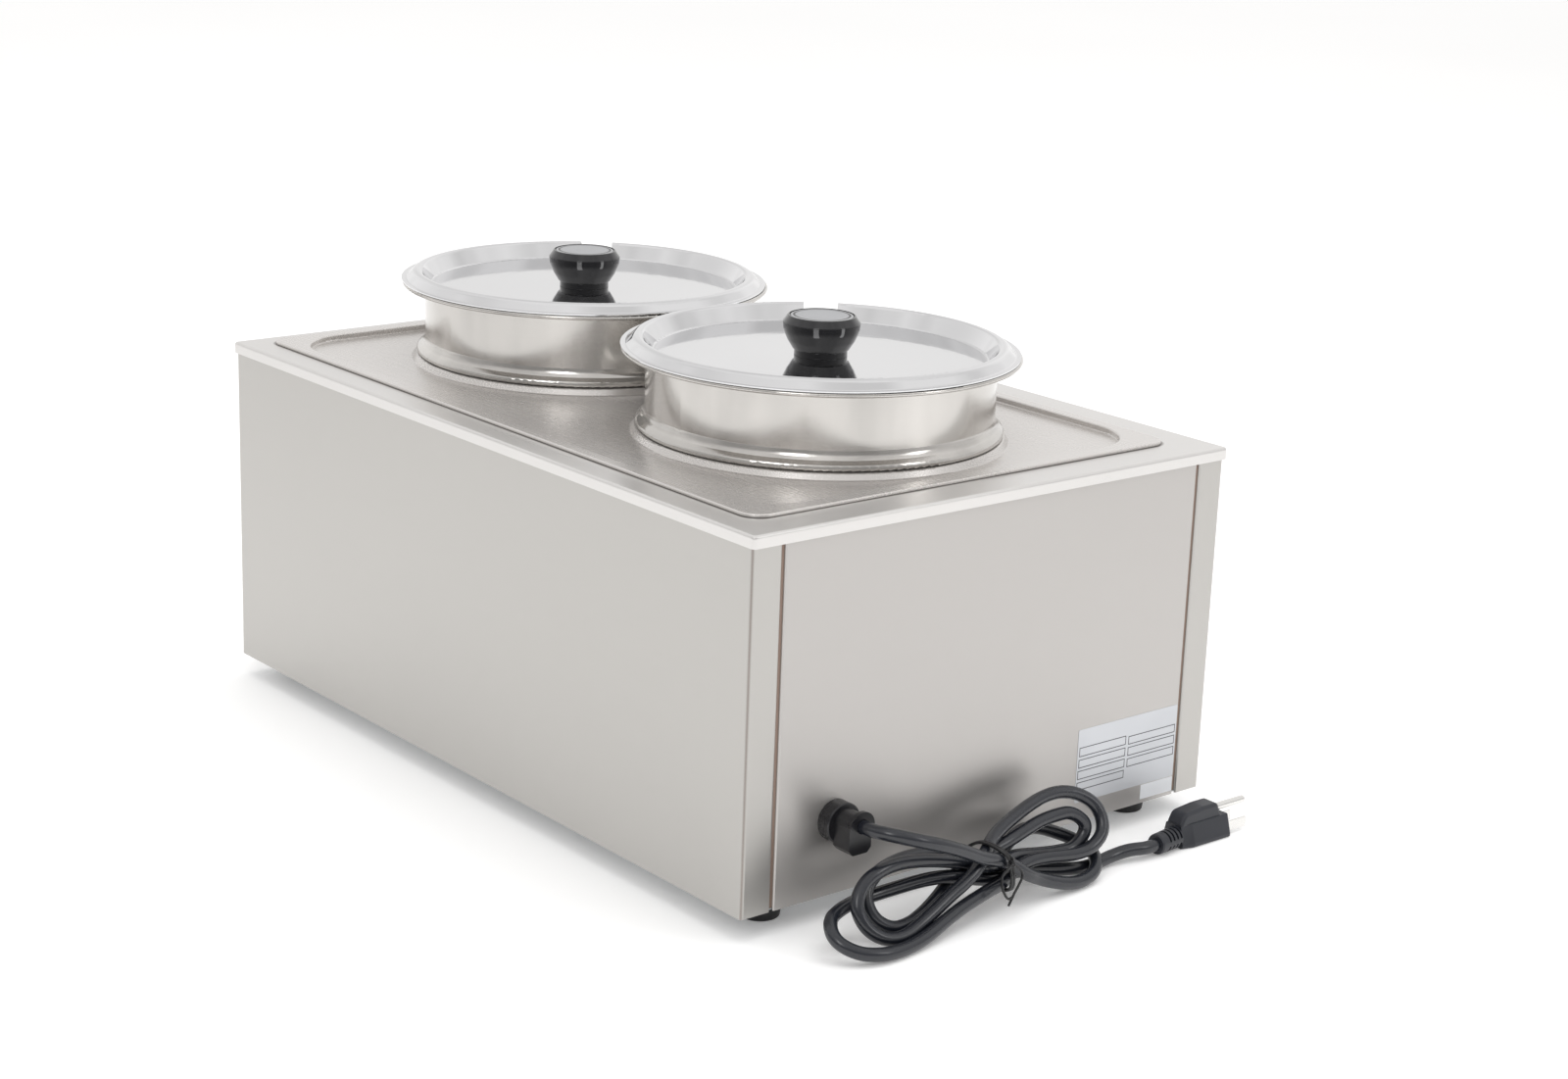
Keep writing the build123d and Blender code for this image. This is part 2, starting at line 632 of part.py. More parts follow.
# the cup below the seat and the raised collar above it
with BuildPart() as cup:
    add(pot_solid)
    split(bisect_by=Plane.XY.offset(POT_SPLIT), keep=Keep.BOTTOM)
with BuildPart() as collar:
    add(pot_solid)
    split(bisect_by=Plane.XY.offset(POT_SPLIT), keep=Keep.TOP)
for where, (x, y) in POTS.items():
    with BuildPart() as one:
        with Locations((x, y, 0)):
            add(cup.part)
    write(one.part, "pot_" + where)
    with BuildPart() as one:
        with Locations((x, y, 0)):
            add(collar.part)
    write(one.part, "pot_collar_" + where)

# ------------------------------------------------------------------- lids
LID_TOP = [
    (0, LID_FLOOR), (102.4, LID_FLOOR), (108.9, 293.7), (113.4, 293.0), (118.6, 288.0),
    (LID_R, 288.0),
]
LID_TOP_R = [1.6, 3.0, 5.5, 1.6]
lid_low, lid_low_r = beside(LID_TOP, LID_TOP_R, LID_T)
with BuildPart() as lid:
    with BuildSketch(Plane.XZ):
        with BuildLine():
            FilletPolyline(*LID_TOP, radius=LID_TOP_R)
            Line(LID_TOP[-1], lid_low[-1])
            FilletPolyline(*lid_low, radius=lid_low_r)
            Line(lid_low[0], LID_TOP[0])
        make_face()
    revolve(axis=Axis.Z)
    # ladle notch through the edge
    with BuildSketch(Plane.XY.offset(LID_FLOOR - 3)):
        with Locations((97 + 20, 0)):
            RectangleRounded(40, NOTCH_W, 3.5)
    extrude(amount=20, mode=Mode.SUBTRACT)
    # screw hole
    with BuildSketch(Plane.XY.offset(LID_FLOOR - 3)):
        Circle(2.6)
    extrude(amount=6, mode=Mode.SUBTRACT)
lid_solid = lid.part.rotate(Axis.Z, NOTCH_ANGLE)

with BuildPart() as knob:
    with BuildSketch(Plane.XZ):
        with BuildLine():
            FilletPolyline(
                (0, KNOB_BASE), (16.3, KNOB_BASE), (16.3, KNOB_BASE + 3.7), (17.4, KNOB_BASE + 4.1),
                (20.6, KNOB_BASE + 9.2), (23.2, KNOB_BASE + 14.9), (23.75, KNOB_BASE + 20.4),
                (20.7, KNOB_TOP), (19.9, KNOB_TOP), (19.9, KNOB_TOP - 1.2), (0, KNOB_TOP - 1.2),
                radius=[0.3, 0.3, 0.5, 12.0, 12.0, 0.9, 1.0, 0, 0],
            )
            Line((0, KNOB_TOP - 1.2), (0, KNOB_BASE))
        make_face()
    revolve(axis=Axis.Z)
    with BuildSketch(Plane.XY.offset(KNOB_BASE)):
        Circle(2.5)
    extrude(amount=12, mode=Mode.SUBTRACT)
knob_solid = knob.part

with BuildPart() as inlay:
    with BuildSketch(Plane.XY.offset(KNOB_TOP - 1.2)):
        Circle(19.2)
    extrude(amount=1.0)
    fillet(inlay.faces().sort_by(Axis.Z)[-1].edges(), 0.4)
inlay_solid = inlay.part

with BuildPart() as knob_screw:
    with BuildSketch(Plane.XY.offset(LID_FLOOR - LID_T - 2.6)):
        Circle(4.6)
    extrude(amount=2.6)
    fillet(knob_screw.edges().filter_by(GeomType.CIRCLE).sort_by(Axis.Z)[0], 1.2)
    with BuildSketch(Plane.XY.offset(LID_FLOOR - LID_T)):
        Circle(2.5)
    extrude(amount=12)
screw_solid = knob_screw.part

for where, (x, y) in LIDS.items():
    for name, solid in (
        ("lid_", lid_solid),
        ("knob_", knob_solid),
        ("knob_inlay_", inlay_solid),
        ("knob_screw_", screw_solid),
    ):
        with BuildPart() as one:
            with Locations((x, y, 0)):
                add(solid)
        write(one.part, name + where)

# ------------------------------------------------------------- cord gland
GP = Plane(origin=(GLAND_X, WALL_Y, GLAND_Z), x_dir=(-1, 0, 0), z_dir=(0, 1, 0))
ex, ez = -(EXIT[0] - GLAND_X), EXIT[2] - GLAND_Z
with BuildPart() as cord_gland:
    with BuildSketch(GP):
        Circle(12.15)
    extrude(amount=9.0)
    chamfer(cord_gland.faces().sort_by(Axis.Y)[-1].edges(), 0.7)
    with BuildSketch(GP):
        Circle(9.9)
    extrude(amount=-(WALL_Y - GY))
    # clamping block, arched on top, rounded corners below
    with BuildSketch(GP.offset(9.0)):
        with BuildLine():
            Polyline((-8, 3.0), (-8, -10.5), (-5.2, -13.5), (5.2, -13.5), (8, -10.5), (8, 3.0))
            ThreePointArc((8, 3.0), (0, 9.7), (-8, 3.0))
        make_face()
    extrude(amount=GLAND_FACE - WALL_Y - 9.0)
    # collar at the mouth
    with BuildSketch(GP.offset(GLAND_FACE - WALL_Y - 2.6)):
        with Locations((ex, ez)):
            Circle(8.6)
    extrude(amount=2.6)
    # bores: cord side and shank side
    with BuildSketch(GP.offset(GLAND_FACE - WALL_Y)):
        with Locations((ex, ez)):
            Circle(CORD_R + 0.35)
    extrude(amount=-4.0, mode=Mode.SUBTRACT)
    with BuildSketch(GP.offset(-(WALL_Y - GY))):
        Circle(7.5)
    extrude(amount=12.0, mode=Mode.SUBTRACT)
write(cord_gland.part, "cord_gland")

with BuildPart() as gland_locknut:
    with BuildSketch(GP.offset(-SHEET)):
        RegularPolygon(14.0, 6)
        Circle(9.9, mode=Mode.SUBTRACT)
    extrude(amount=-5)
write(gland_locknut.part, "gland_locknut")

# ------------------------------------------------------------------- cord
# lead: out of the gland, turns along the wall, falls to the tie
LEAD = [
    (EXIT[0], GLAND_FACE - 4.0, EXIT[2]),
    (118.0, 310.1, 63.4),
    (112.2, 322.5, 63.4),
    (100.8, 329.7, 60.1),
    (88.3, 332.1, 55.9),
    (75.8, 332.4, 50.8),
    (63.7, 332.1, 45.2),
    (51.8, 331.8, 39.0),
    (39.1, 331.1, 34.7),
    (29.0, 329.7, 30.1),
]
lead_r = tube_radii(LEAD)
print("lead radii", [round(r, 1) for r in lead_r])
with BuildPart() as cord_lead:
    with BuildLine() as lead_path:
        FilletPolyline(*LEAD, radius=lead_r)
    with BuildSketch(Plane(origin=lead_path.line @ 0, z_dir=lead_path.line % 0)):
        Circle(CORD_R)
    sweep(path=lead_path.line)
print("lead volume / section x length",
      round(cord_lead.part.volume / (math.pi * CORD_R**2 * lead_path.wires()[0].length), 4),
      "length", round(lead_path.wires()[0].length, 1))
write(cord_lead.part, "cord_lead")

# hank: outer shape of the folded loops, two lobes and a tied waist
WAIST = HANK.from_local_coords((33.0, 24.6, 1.4))
WAISTP = Plane(
    origin=WAIST, x_dir=HANK.x_dir * 0.371 + HANK.y_dir * 0.928, z_dir=HANK.x_dir * 0.928 - HANK.y_dir * 0.371
)
with BuildPart() as cord_hank:
    with BuildSketch(HANK.offset(-9.5)):
        with BuildLine():
            FilletPolyline(
                (34, 38), (54, 42), (80, 49), (104, 50), (130, 46), (156, 33), (163, 20),
                (160, 4), (146, -5.0), (118, -7.0), (84, -3.0), (52, 6), (34, 14),
                radius=[5, 9, 12, 12, 12, 10, 10, 12, 12, 12, 12, 10, 5],
                close=True,
            )
        make_face()
        with BuildLine():
            FilletPolyline(
                (21, 13), (2, 2), (-14, -3), (-36, -4.6), (-53, -1), (-64, 8), (-69, 24), (-67, 42),
                (-54, 55), (-22, 58.5), (4, 52), (21, 40),
                radius=[5, 9, 9, 9, 9, 9, 12, 10, 10, 10, 12, 5],
                close=True,
            )
        make_face()
    extrude(amount=31.0)
    fillet(cord_hank.faces().sort_by(Axis((0, 0, 0), HANK.z_dir))[:2].edges(), 3.6)
    # waist
    with BuildSketch(WAISTP):
        Ellipse(15.2, 16.5)
    extrude(amount=10.0, both=True)
    split(bisect_by=Plane.XY, keep=Keep.TOP)
write(cord_hank.part, "cord_hank")

with BuildPart() as twist_tie:
    with BuildSketch(WAISTP):
        Ellipse(16.9, 18.2)
        Ellipse(15.2, 16.5, mode=Mode.SUBTRACT)
    extrude(amount=1.8, both=True)
write(twist_tie.part, "twist_tie")

# tail: from under the hank along the ground to the plug
TAIL = [
    (-45.6, 317.2, 5.1),
    (-58.9, 315.5, 4.05),
    (-72.2, 314.6, 5.4),
    (-85.4, 317.3, 7.4),
    (-96.8, 321.0, 6.9),
    (-105.0, 320.0, 6.9),
]
tail_r = tube_radii(TAIL)
print("tail radii", [round(r, 1) for r in tail_r])
with BuildPart() as cord_tail:
    with BuildLine() as tail_path:
        FilletPolyline(*TAIL, radius=tail_r)
    with BuildSketch(Plane(origin=tail_path.line @ 0, z_dir=tail_path.line % 0)):
        Circle(CORD_R)
    sweep(path=tail_path.line)
print("tail volume / section x length",
      round(cord_tail.part.volume / (math.pi * CORD_R**2 * tail_path.wires()[0].length), 4),
      "length", round(tail_path.wires()[0].length, 1))
write(cord_tail.part, "cord_tail")

# ribbed strain relief on the plug: a collar, then slots broken by a bar on each side
SRP = Plane(origin=(-105.0, 320.0, 6.9), x_dir=(0.1222, -0.9925, 0), z_dir=(-0.9925, -0.1222, 0))
with BuildPart() as plug_strain_relief:
    with BuildSketch(SRP):
        Circle(5.9)
    with BuildSketch(SRP.offset(1.2)):
        Circle(6.4)
    loft()
    with BuildSketch(SRP.offset(1.2)):
        Circle(6.4)
    with BuildSketch(SRP.offset(22)):
        Circle(6.8)
    loft()
    for k in range(4):
        for side in (1, -1):
            with BuildSketch(SRP.offset(6.6 + 3.5 * k)):
                with Locations((0, side * 6.2)):
                    Rectangle(18, 9.6)
                Circle(5.1, mode=Mode.SUBTRACT)
            extrude(amount=1.5, mode=Mode.SUBTRACT)
    split(bisect_by=Plane.YZ.offset(PLUG_X0), keep=Keep.TOP)
write(plug_strain_relief.part, "plug_strain_relief")

# plug body: block with leaning sides and a raised lobe for the earth pin, slanted face
with BuildPart() as plug_lobe:
    with BuildSketch(Plane.XZ.offset(-PLUG_Y)):
        with BuildLine():
            FilletPolyline(
                (PLUG_X0 - 0.4, 8), (PLUG_X0 - 0.2, 15.0), (PLUG_X0 - 3.6, 21.4),
                (PLUG_X0 - 20, 23.0), (PLUG_X0 - 32.5, 23.0), (PLUG_X0 - 38.6, 8),
                radius=[3.0, 5.0, 12.0, 3.4],
            )
            Line((PLUG_X0 - 38.6, 8), (PLUG_X0 - 0.4, 8))
        make_face()
    extrude(amount=6.3, both=True)
    fillet(
        [e for e in plug_lobe.edges() if abs(abs(e.center().Y - PLUG_Y) - 6.3) < 0.01 and e.center().Z > 8.5],
        2.2,
    )
with BuildPart() as plug_body:
    with BuildSketch(Plane.YZ.offset(PLUG_X0)):
        with BuildLine():
            FilletPolyline(
                (PLUG_Y - 8.6, 0.3), (PLUG_Y + 8.6, 0.3), (PLUG_Y + 8.6, 2.6), (PLUG_Y + 6.2, 14.2),
                (PLUG_Y - 6.2, 14.2), (PLUG_Y - 8.6, 2.6),
                radius=[1.6, 1.6, 2.0, 0.9, 0.9, 2.0], close=True,
            )
        make_face()
    with BuildSketch(Plane.YZ.offset(PLUG_X0 - 9)):
        with BuildLine():
            FilletPolyline(
                (PLUG_Y - 10.5, 0), (PLUG_Y + 10.5, 0), (PLUG_Y + 10.5, 2.6), (PLUG_Y + 7.0, 14.6),
                (PLUG_Y - 7.0, 14.6), (PLUG_Y - 10.5, 2.6),
                radius=[1.6, 1.6, 2.0, 0.9, 0.9, 2.0], close=True,
            )
        make_face()
    with BuildSketch(Plane.YZ.offset(PLUG_X1)):
        with BuildLine():
            FilletPolyline(
                (PLUG_Y - 10.5, 0), (PLUG_Y + 10.5, 0), (PLUG_Y + 10.5, 2.6), (PLUG_Y + 7.0, 14.6),
                (PLUG_Y - 7.0, 14.6), (PLUG_Y - 10.5, 2.6),
                radius=[1.6, 1.6, 2.0, 0.9, 0.9, 2.0], close=True,
            )
        make_face()
    loft(ruled=True)
    add(plug_lobe.part)
    # seat of the earth pin
    with BuildSketch(Plane.YZ.offset(PLUG_X1 + 7)):
        with Locations((PLUG_Y, BLADE_Z + 11.9)):
            Circle(2.7)
    extrude(amount=-12, mode=Mode.SUBTRACT)
write(plug_body.part, "plug_body")

with BuildPart() as plug_prongs:
    with BuildSketch(Plane.YZ.offset(PLUG_X1)):
        with Locations((PLUG_Y - 6.35, BLADE_Z), (PLUG_Y + 6.35, BLADE_Z)):
            Rectangle(1.5, 6.3)
    extrude(amount=-18.0)
    chamfer(plug_prongs.faces().sort_by(Axis.X)[:2].edges(), 0.4)
    with BuildSketch(Plane.YZ.offset(PLUG_X1 + 7)):
        with Locations((PLUG_Y, BLADE_Z + 11.9)):
            Circle(2.4)
    extrude(amount=-28.5)
    fillet(plug_prongs.edges().filter_by(GeomType.CIRCLE).sort_by(Axis.X)[0], 1.4)
write(plug_prongs.part, "plug_prongs")

# ------------------------------------------------------------------ labels
with BuildPart() as rating_label:
    with BuildSketch(Plane(origin=(-116.5, WALL_Y, 51), x_dir=(-1, 0, 0), z_dir=(0, 1, 0))):
        RectangleRounded(86, 47, 1.2)
    extrude(amount=0.2)
write(rating_label.part, "rating_label")

with BuildPart() as small_label:
    with BuildSketch(Plane(origin=(-145.4, WALL_Y, 22.3), x_dir=(-1, 0, 0), z_dir=(0, 1, 0))):
        RectangleRounded(28, 9.5, 0.6)
    extrude(amount=0.2)
write(small_label.part, "small_label")
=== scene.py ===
import math

import bpy
import bmesh
from mathutils import Matrix, Vector


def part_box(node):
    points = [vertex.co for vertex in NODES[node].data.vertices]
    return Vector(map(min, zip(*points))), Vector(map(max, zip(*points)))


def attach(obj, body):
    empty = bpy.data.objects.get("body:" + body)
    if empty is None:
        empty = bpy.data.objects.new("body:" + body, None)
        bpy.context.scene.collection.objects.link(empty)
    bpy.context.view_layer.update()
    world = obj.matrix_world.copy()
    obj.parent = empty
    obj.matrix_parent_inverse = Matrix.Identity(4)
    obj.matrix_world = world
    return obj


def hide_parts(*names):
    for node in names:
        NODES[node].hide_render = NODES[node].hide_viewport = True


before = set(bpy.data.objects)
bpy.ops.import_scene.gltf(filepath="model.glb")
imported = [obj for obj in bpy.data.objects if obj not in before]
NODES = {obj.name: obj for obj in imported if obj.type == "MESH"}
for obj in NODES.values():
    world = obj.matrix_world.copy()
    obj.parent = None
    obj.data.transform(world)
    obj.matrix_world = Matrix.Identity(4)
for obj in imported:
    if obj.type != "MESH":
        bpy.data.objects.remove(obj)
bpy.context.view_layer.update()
scene = bpy.context.scene
MM = 0.001

# ------------------------------------------------------------------ camera
RIGHT = Vector((-0.774702, 0.631368, 0.034816))
DOWN = Vector((0.148246, 0.234876, -0.960654))
FWD = Vector((-0.614703, -0.739059, -0.275557))
cam_data = bpy.data.cameras.new("camera")
cam_data.lens = 64.829
cam_data.sensor_width = 36.0
cam_data.sensor_fit = "HORIZONTAL"
cam_data.clip_start = 0.05
cam_data.clip_end = 60.0
camera = bpy.data.objects.new("camera", cam_data)
scene.collection.objects.link(camera)
rot = Matrix((RIGHT, -DOWN, -FWD)).transposed().to_4x4()
camera.matrix_world = Matrix.Translation((1.091138, 1.396644, 0.646807)) @ rot
scene.camera = camera

# ------------------------------------------------------------------- cord
# the route's points, in millimetres
LEAD = [  # out of the gland and down to the tie
    (117, 299.2, 63), (118, 310.1, 63.4), (112.2, 322.5, 63.4), (100.8, 329.7, 60.1), (88.3, 332.1, 55.9),
    (75.8, 332.4, 50.8), (63.7, 332.1, 45.2), (51.8, 331.8, 39), (39.1, 331.1, 34.7),
]
HANK = [  # the tied loops, strand by strand
    (26.9, 329.4, 29.2), (16.3, 331.6, 21), (4.4, 329.9, 14.8), (-7.9, 330.9, 9.7), (-20.8, 331.4, 5.8),
    (-34.1, 330.4, 4.2), (-47.3, 327.3, 6.9), (-55.1, 317.2, 13), (-49.7, 304.9, 18.3), (-38.9, 298.6, 23.3),
    (-26.5, 296.7, 28.4), (-13.2, 297.5, 30.6), (-0.2, 302, 29), (11.1, 306.3, 25.2), (24, 313.3, 21.2),
    (35.3, 307.2, 23.4), (46, 302.5, 30.4), (59.3, 304, 34.1), (72.1, 305, 37.2), (85.4, 306.4, 39),
    (98.7, 308, 39.1), (111.7, 309.8, 36.6), (123.2, 313.2, 29.1), (123.4, 320.1, 16.5), (112.9, 325.1, 8.3),
    (99.2, 324.5, 7.4), (86.3, 321.8, 9.9), (73.9, 317.9, 13.2), (61.9, 313.5, 17.3), (50, 310.8, 23.1),
    (38, 312.8, 29.2), (24.8, 313.4, 31.5), (11.7, 313.3, 34.6), (-1.3, 311.6, 36.9), (-14.5, 309.8, 39.1),
    (-27.8, 309.5, 39.9), (-41.4, 309.5, 39.2), (-52.4, 313.6, 29.4), (-42.3, 314, 17.8), (-28.5, 312.5, 17.7),
    (-15.4, 312.5, 19.5), (-2.2, 313, 22.1), (10.8, 315, 25), (23.5, 319.4, 25.4), (37, 320.9, 26.1),
    (49.5, 317.9, 30.4), (62.2, 317.8, 34.7), (75.1, 317.6, 38.2), (88.2, 317.3, 40.9), (101.6, 317.1, 42.6),
    (115, 317.8, 42.1), (127.9, 318, 37.5), (136.8, 321.6, 27.3), (134.4, 328.4, 15), (123.9, 333.8, 7.6),
    (110.2, 334.6, 6.6), (97.3, 332.5, 10.1), (84.9, 330.8, 14.8), (72.7, 329.2, 20.1), (60.3, 328.6, 25.1),
    (48.4, 326.8, 31.2), (37.6, 320.7, 36.6), (26.6, 313.5, 39.3), (14.2, 309.2, 42.4), (1.4, 306.3, 45.4),
    (-11.5, 304, 48.2), (-24.6, 302.3, 50.2), (-38.2, 302.5, 50.4), (-50.9, 305.8, 47.2), (-60.1, 313, 39.5),
    (-59.2, 320.3, 27.2), (-47.7, 322.7, 19.3), (-34.2, 322.8, 18.3), (-20.9, 322.3, 20), (-7.7, 321.8, 22),
    (5.8, 322.3, 22.8), (18.9, 323.5, 20.2), (31.3, 327.8, 17.1), (44.5, 330.5, 16.5), (57.6, 332.8, 15.1),
    (70.7, 334.8, 12.9), (83.5, 336.9, 9.6), (96.2, 339.7, 6.4), (109.4, 341.9, 4.5), (122.6, 343.7, 4.4),
    (136.2, 343.3, 5.4), (148.4, 338.1, 7.6), (156.3, 327.5, 13.3), (150.8, 316.2, 20), (138, 310.8, 21.4),
    (125.1, 308, 22), (111.6, 308, 22.6), (98.4, 309.9, 23.8), (85.2, 312.3, 25.3), (72.2, 315.2, 26.1),
    (59.1, 318.5, 25.3), (46.4, 319.8, 21), (33.5, 319.4, 17.3), (20.4, 317.3, 15.5), (7, 315.8, 15.1),
    (-6.3, 315.9, 13.1), (-19.3, 317, 10), (-32.4, 317.8, 7.6),
]
TAIL = [  # from under the hank to the plug
    (-45.6, 317.2, 5.1), (-58.9, 315.5, 4.05), (-72.2, 314.6, 5.4), (-85.4, 317.3, 7.4), (-96.8, 321, 6.9),
    (-105, 320, 6.9),
]


def link(obj):
    scene.collection.objects.link(obj)
    return obj


def spline_curve(name, points, radius, cyclic=False, order=3, res=12, bevel=6, end=True):
    """A tube whose centre line is one NURBS spline with these control points, in millimetres."""
    curve = bpy.data.curves.new(name, "CURVE")
    curve.dimensions = "3D"
    sp = curve.splines.new("NURBS")
    sp.points.add(len(points) - 1)
    for p, q in zip(sp.points, points):
        p.co = (q[0] * MM, q[1] * MM, q[2] * MM, 1.0)
        p.radius = radius * MM
    sp.order_u = order
    sp.use_endpoint_u = end
    sp.use_cyclic_u = cyclic
    sp.resolution_u = res
    curve.bevel_depth = 1.0
    curve.bevel_resolution = bevel
    curve.use_fill_caps = True
    return link(bpy.data.objects.new(name, curve))


mains_cord = spline_curve("mains_cord", LEAD + HANK + TAIL, 4.0)
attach(mains_cord, "housing")
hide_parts("cord_lead", "cord_hank", "cord_tail")

# twist tie: hank plane, x along the bundle, s up it, w towards the housing
HO = Vector((0, 331.3, 4.0))
HZ = Vector((0.0390, -0.8865, -0.4611)).normalized()
HX = Vector((0.99903, 0.04396, 0))
HX = (HX - HZ * HX.dot(HZ)).normalized()
HY = HZ.cross(HX)


def hank(x, s, w):
    return tuple(HO + HX * x + HY * s + HZ * w)


RING = [
    (39.2, 40.6, -2.0), (38.9, 39.4, 8.0), (37.4, 36.2, 17.0), (35.4, 30.6, 20.2),
    (32.4, 23.2, 17.2), (28.4, 12.8, 10.0), (26.8, 8.6, -1.2), (27.3, 10.2, -6.6),
    (30.2, 17.4, -13.2), (33.2, 25.0, -17.6), (35.6, 31.0, -16.2), (38.2, 38.0, -8.6),
]
turns = []
for k in range(2 * len(RING) + 1):
    x, s, w = RING[(k + 9) % len(RING)]
    turns.append(hank(x - 1.7 + 3.6 * k / (2 * len(RING)), s, w))
wire_a = [
    (33.5, 24.0, -18.6), (38.0, 21.4, -18.4), (42.6, 19.6, -17.2), (44.6, 14.6, -16.0),
    (43.4, 8.2, -14.9), (41.0, 4.6, -14.2), (38.4, 5.4, -14.2),
]
wire_b = [
    (35.5, 24.0, -19.0), (31.6, 21.6, -18.6), (27.4, 18.4, -17.2), (26.8, 14.8, -16.2),
    (31.4, 10.4, -15.2), (36.4, 6.6, -14.6), (39.6, 3.2, -13.8), (41.4, 1.4, -13.2),
]
tie_ring = spline_curve("twist_tie_ring", turns, 0.95, bevel=4)
tie_a = spline_curve("twist_tie_end_a", [hank(*p) for p in wire_a], 0.75, bevel=3)
tie_b = spline_curve("twist_tie_end_b", [hank(*p) for p in wire_b], 0.75, bevel=3)
# the knot: both ends twisted round each other in front of the bundle
knot = []
for k in range(15):
    a = math.pi * k * 0.55
    knot.append(hank(33.4 + 0.9 * math.cos(a), 21.6 + 0.30 * k, -18.4 + 0.9 * math.sin(a)))
tie_knot = spline_curve("twist_tie_knot", knot, 0.8, bevel=3)
for piece in (tie_ring, tie_a, tie_b, tie_knot):
    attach(piece, "housing")
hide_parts("twist_tie")

# -------------------------------------------------------------- materials
def new_mat(name):
    mat = bpy.data.materials.new(name)
    mat.use_nodes = True
    nodes, links = mat.node_tree.nodes, mat.node_tree.links
    nodes.clear()
    out = nodes.new("ShaderNodeOutputMaterial")
    bsdf = nodes.new("ShaderNodeBsdfPrincipled")
    links.new(bsdf.outputs["BSDF"], out.inputs["Surface"])
    coord = nodes.new("ShaderNodeTexCoord")
    return mat, nodes, links, bsdf, coord.outputs["Object"]


def noise(nodes, links, vector, scale=(1, 1, 1), size=1.0, detail=2.0, rough=0.5, offset=(0, 0, 0)):
    m = nodes.new("ShaderNodeMapping")
    m.inputs["Scale"].default_value = scale
    m.inputs["Location"].default_value = offset
    links.new(vector, m.inputs["Vector"])
    t = nodes.new("ShaderNodeTexNoise")
    t.inputs["Scale"].default_value = size
    t.inputs["Detail"].default_value = detail
    t.inputs["Roughness"].default_value = rough
    links.new(m.outputs["Vector"], t.inputs["Vector"])
    return t.outputs["Fac"]


def span(nodes, links, value, lo, hi, f0=0.3, f1=0.7):
    r = nodes.new("ShaderNodeMapRange")
    r.inputs["From Min"].default_value = f0
    r.inputs["From Max"].default_value = f1
    r.inputs["To Min"].default_value = lo
    r.inputs["To Max"].default_value = hi
    links.new(value, r.inputs["Value"])
    return r.outputs["Result"]


def op(nodes, links, kind, a, b):
    m = nodes.new("ShaderNodeMath")
    m.operation = kind
    for i, v in enumerate((a, b)):
        if isinstance(v, (int, float)):
            m.inputs[i].default_value = v
        else:
            links.new(v, m.inputs[i])
    return m.outputs[0]


def ramp(nodes, links, value, stops):
    r = nodes.new("ShaderNodeValToRGB")
    els = r.color_ramp.elements
    els[0].position, els[0].color = stops[0][0], (*stops[0][1], 1)
    els[1].position, els[1].color = stops[-1][0], (*stops[-1][1], 1)
    for pos, col in stops[1:-1]:
        e = els.new(pos)
        e.color = (*col, 1)
    links.new(value, r.inputs["Fac"])
    return r.outputs["Color"]


def bump(nodes, links, bsdf, height, strength, distance):
    b = nodes.new("ShaderNodeBump")
    b.inputs["Strength"].default_value = strength
    b.inputs["Distance"].default_value = distance
    links.new(height, b.inputs["Height"])
    links.new(b.outputs["Normal"], bsdf.inputs["Normal"])


def shade(col, f):
    return tuple(min(1.0, c * f) for c in col)


